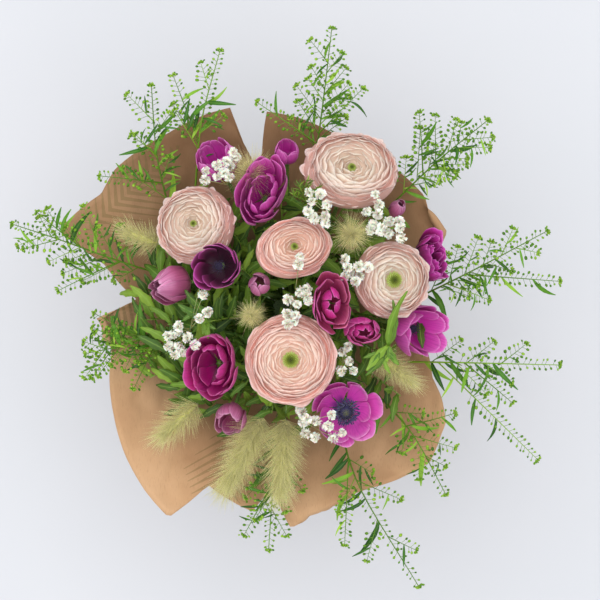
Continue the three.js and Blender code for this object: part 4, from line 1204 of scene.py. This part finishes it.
# Thin white petals lit from all sides, creamy in the folds and green where they join the stalk.
floret_white, tree, shader = new_finish(
    "gypsophila_petal_white", 0.6, Subsurface_Weight=0.4, Subsurface_Scale=0.003
)
part, _ = read_grain(tree)
tone = add(
    tree,
    "ValToRGB",
    {"Fac": part.outputs["Green"]},
    [(0.0, "9aa870"), (0.1, "d6d4b8"), (0.3, "eae6d8"), (1.0, "f3efe4")],
)
link_surface(tree, shader, tone)


# %% One floret
def add_floret(shape, centre, size):
    """Small frilled petals by the golden angle, from the middle down to the sides."""
    matrix = stand(centre, leaning(random.uniform(0, 30), random.uniform(0, 360)))
    petals = 26
    for petal in range(petals):
        share = (petal + 0.5) / petals
        way = leaning(118 * share**0.6, petal * GOLDEN_ANGLE)
        side = way.cross(leaning(random.uniform(60, 120), random.uniform(0, 360))).normalized()
        lift = side.cross(way)
        reach = size * random.uniform(0.78, 1.05)

        def place(u, v, way=way, side=side, lift=lift, reach=reach):
            spot = way * reach * (0.25 + 0.75 * v) + side * u * reach * 0.5 * (0.35 + 0.65 * v)
            spot += lift * reach * (0.22 * v * v - 0.16 * u * u * v)
            return matrix @ spot

        add_blade(shape, 2, 2, place)


def add_stalk(shape, points):
    """A hair-fine green stalk through points in millimetres."""
    grain = shape.verts.layers.float_color["grain"]
    start = len(shape.verts)
    line = [p * MM for p in through(points, 3)]
    add_tube(shape, line, [0.3 * MM] * len(line))
    shape.verts.ensure_lookup_table()
    for corner in shape.verts[start:]:
        corner[grain] = (0.5, 0, 0.5, 1)


for name, (hub, florets) in GYPSOPHILA.items():
    shape = new_shape()
    hub = Vector(hub)
    spots = [(hub, Vector(spot), 4.4) for spot in florets]
    for spot in florets:
        away = leaning(random.uniform(50, 105), random.uniform(0, 360))
        spots.append((hub, Vector(spot) + away * random.uniform(7, 9), random.uniform(3.4, 4.6)))
    if name == "front":
        # A second tuft comes up between the front bloom and the open anemone.
        tuft = Vector((43, -41, 288))
        add_stalk(shape, [(16, -14, 190), (34, -31, 244), tuft])
        tops = [(43, -33, 303), (48, -40, 304), (42, -47, 303), (47, -29, 300), (51, -47, 300)]
        for spot in tops:
            spots.append((tuft, Vector(spot), random.uniform(3.6, 4.4)))
    for root, spot, size in spots:
        add_stalk(shape, [root, root.lerp(spot, 0.5) + Vector((0, 0, 4)), spot])
        add_floret(shape, spot, size)
    node = f"gypsophila_{name}"
    make_piece(f"{node}_florets", shape, [floret_white], [node])

# %% [markdown]
# ## Cut leaves and the greenery between the blooms
#
# Anemones keep a ruff of deeply cut leaves, and leafy shoots fill the bunch from the neck to
# just under the blooms. Each lobe is a leaf blade with a lobed edge. The shoots run between
# the stems by the golden angle, so they stand evenly all round and no view looks bare.

# %% Two cut leaves
CUT_LEAVES = {
    "right": ((77, -28, 306), [(73, 10, 332), (91, 0, 324), (58, -44, 314), (79, -44, 306),
                               (67, -54, 304)], 7),
    "left": ((-62, -6, 296), [(-66, 10, 302), (-56, -22, 304), (-82, -2, 300),
                              (-76, 14, 296)], 7),
}
for name, (hub, lobes, width) in CUT_LEAVES.items():
    shape = new_shape()
    hub = Vector(hub)
    for lobe in lobes:
        reach = Vector(lobe) - hub
        add_leaf(shape, hub, reach.normalized(), reach.length, width, 0.15, 0.3, 12)
        for side in (-1, 1) if lobe[1] < 0 else ():
            away = reach.normalized() + reach.cross(UP).normalized() * side * 0.6
            root = hub + reach * 0.35
            add_leaf(shape, root, away.normalized(), reach.length * 0.5, width * 0.6, 0.3, 0.3, 8)
    make_piece(f"leaf_{name}_lobes", shape, [leaf_green], [f"leaf_{name}"], 0.3)

# %% The needle-leaved tuft
shape = new_shape()
hub = Vector((16, 80, 298))
for lobe in [(10, 92, 316), (16, 95, 318), (24, 90, 318), (6, 84, 316), (26, 80, 314)]:
    reach = Vector(lobe) - hub
    line = through([hub, hub + reach * 0.5, hub + reach], 3)
    add_tube(shape, [p * MM for p in line], [0.5 * MM] * len(line), 4)
    for i in range(26):
        root, ahead = along(line, 0.25 + 0.75 * i / 26)
        out = ahead.cross(leaning(random.uniform(20, 90), i * GOLDEN_ANGLE)).normalized()
        add_leaf(shape, root, (ahead + out).normalized(), random.uniform(5, 8), 0.7, 0.2)
make_piece("leaf_needled_tuft", shape, [leaf_green], ["leaf_needled"])

# %% Leafy shoots under the blooms
SHOOTS = 40
spots = []
for i in range(SHOOTS):
    spots.append((i * GOLDEN_ANGLE, 30 + 82 * math.sqrt((i + 0.5) / SHOOTS)))
# The left side, where no bloom leans out, is filled with fourteen more.
for i in range(14):
    spots.append((156 + i * 6.4, 88 + 32 * (i * 0.618 % 1)))
shape = new_shape()
for bearing, reach in spots:
    out = leaning(90, bearing)
    top = 286 - 44 * (reach / 112) ** 2 + random.uniform(-6, 4)
    path = [out * 9 + UP * 128, out * reach * 0.42 + UP * 196, out * reach + UP * top]
    line = through(path, 7)
    radii = [1.0 * MM * (1 - 0.6 * k / (len(line) - 1)) for k in range(len(line))]
    add_tube(shape, [p * MM for p in line], radii, 5)
    for k in range(15):
        root, ahead = along(line, 0.42 + 0.58 * (k + 0.5) / 15)
        away = ahead.cross(leaning(random.uniform(0, 60), k * GOLDEN_ANGLE)).normalized()
        direction = (ahead * 0.5 + away + UP * 0.1).normalized()
        size = random.uniform(16, 30)
        add_leaf(shape, root, direction, size, size * 0.3, random.uniform(0.1, 0.7), 0.35, 9)
make_piece("greenery_shoots", shape, [leaf_green], (), 0.25)
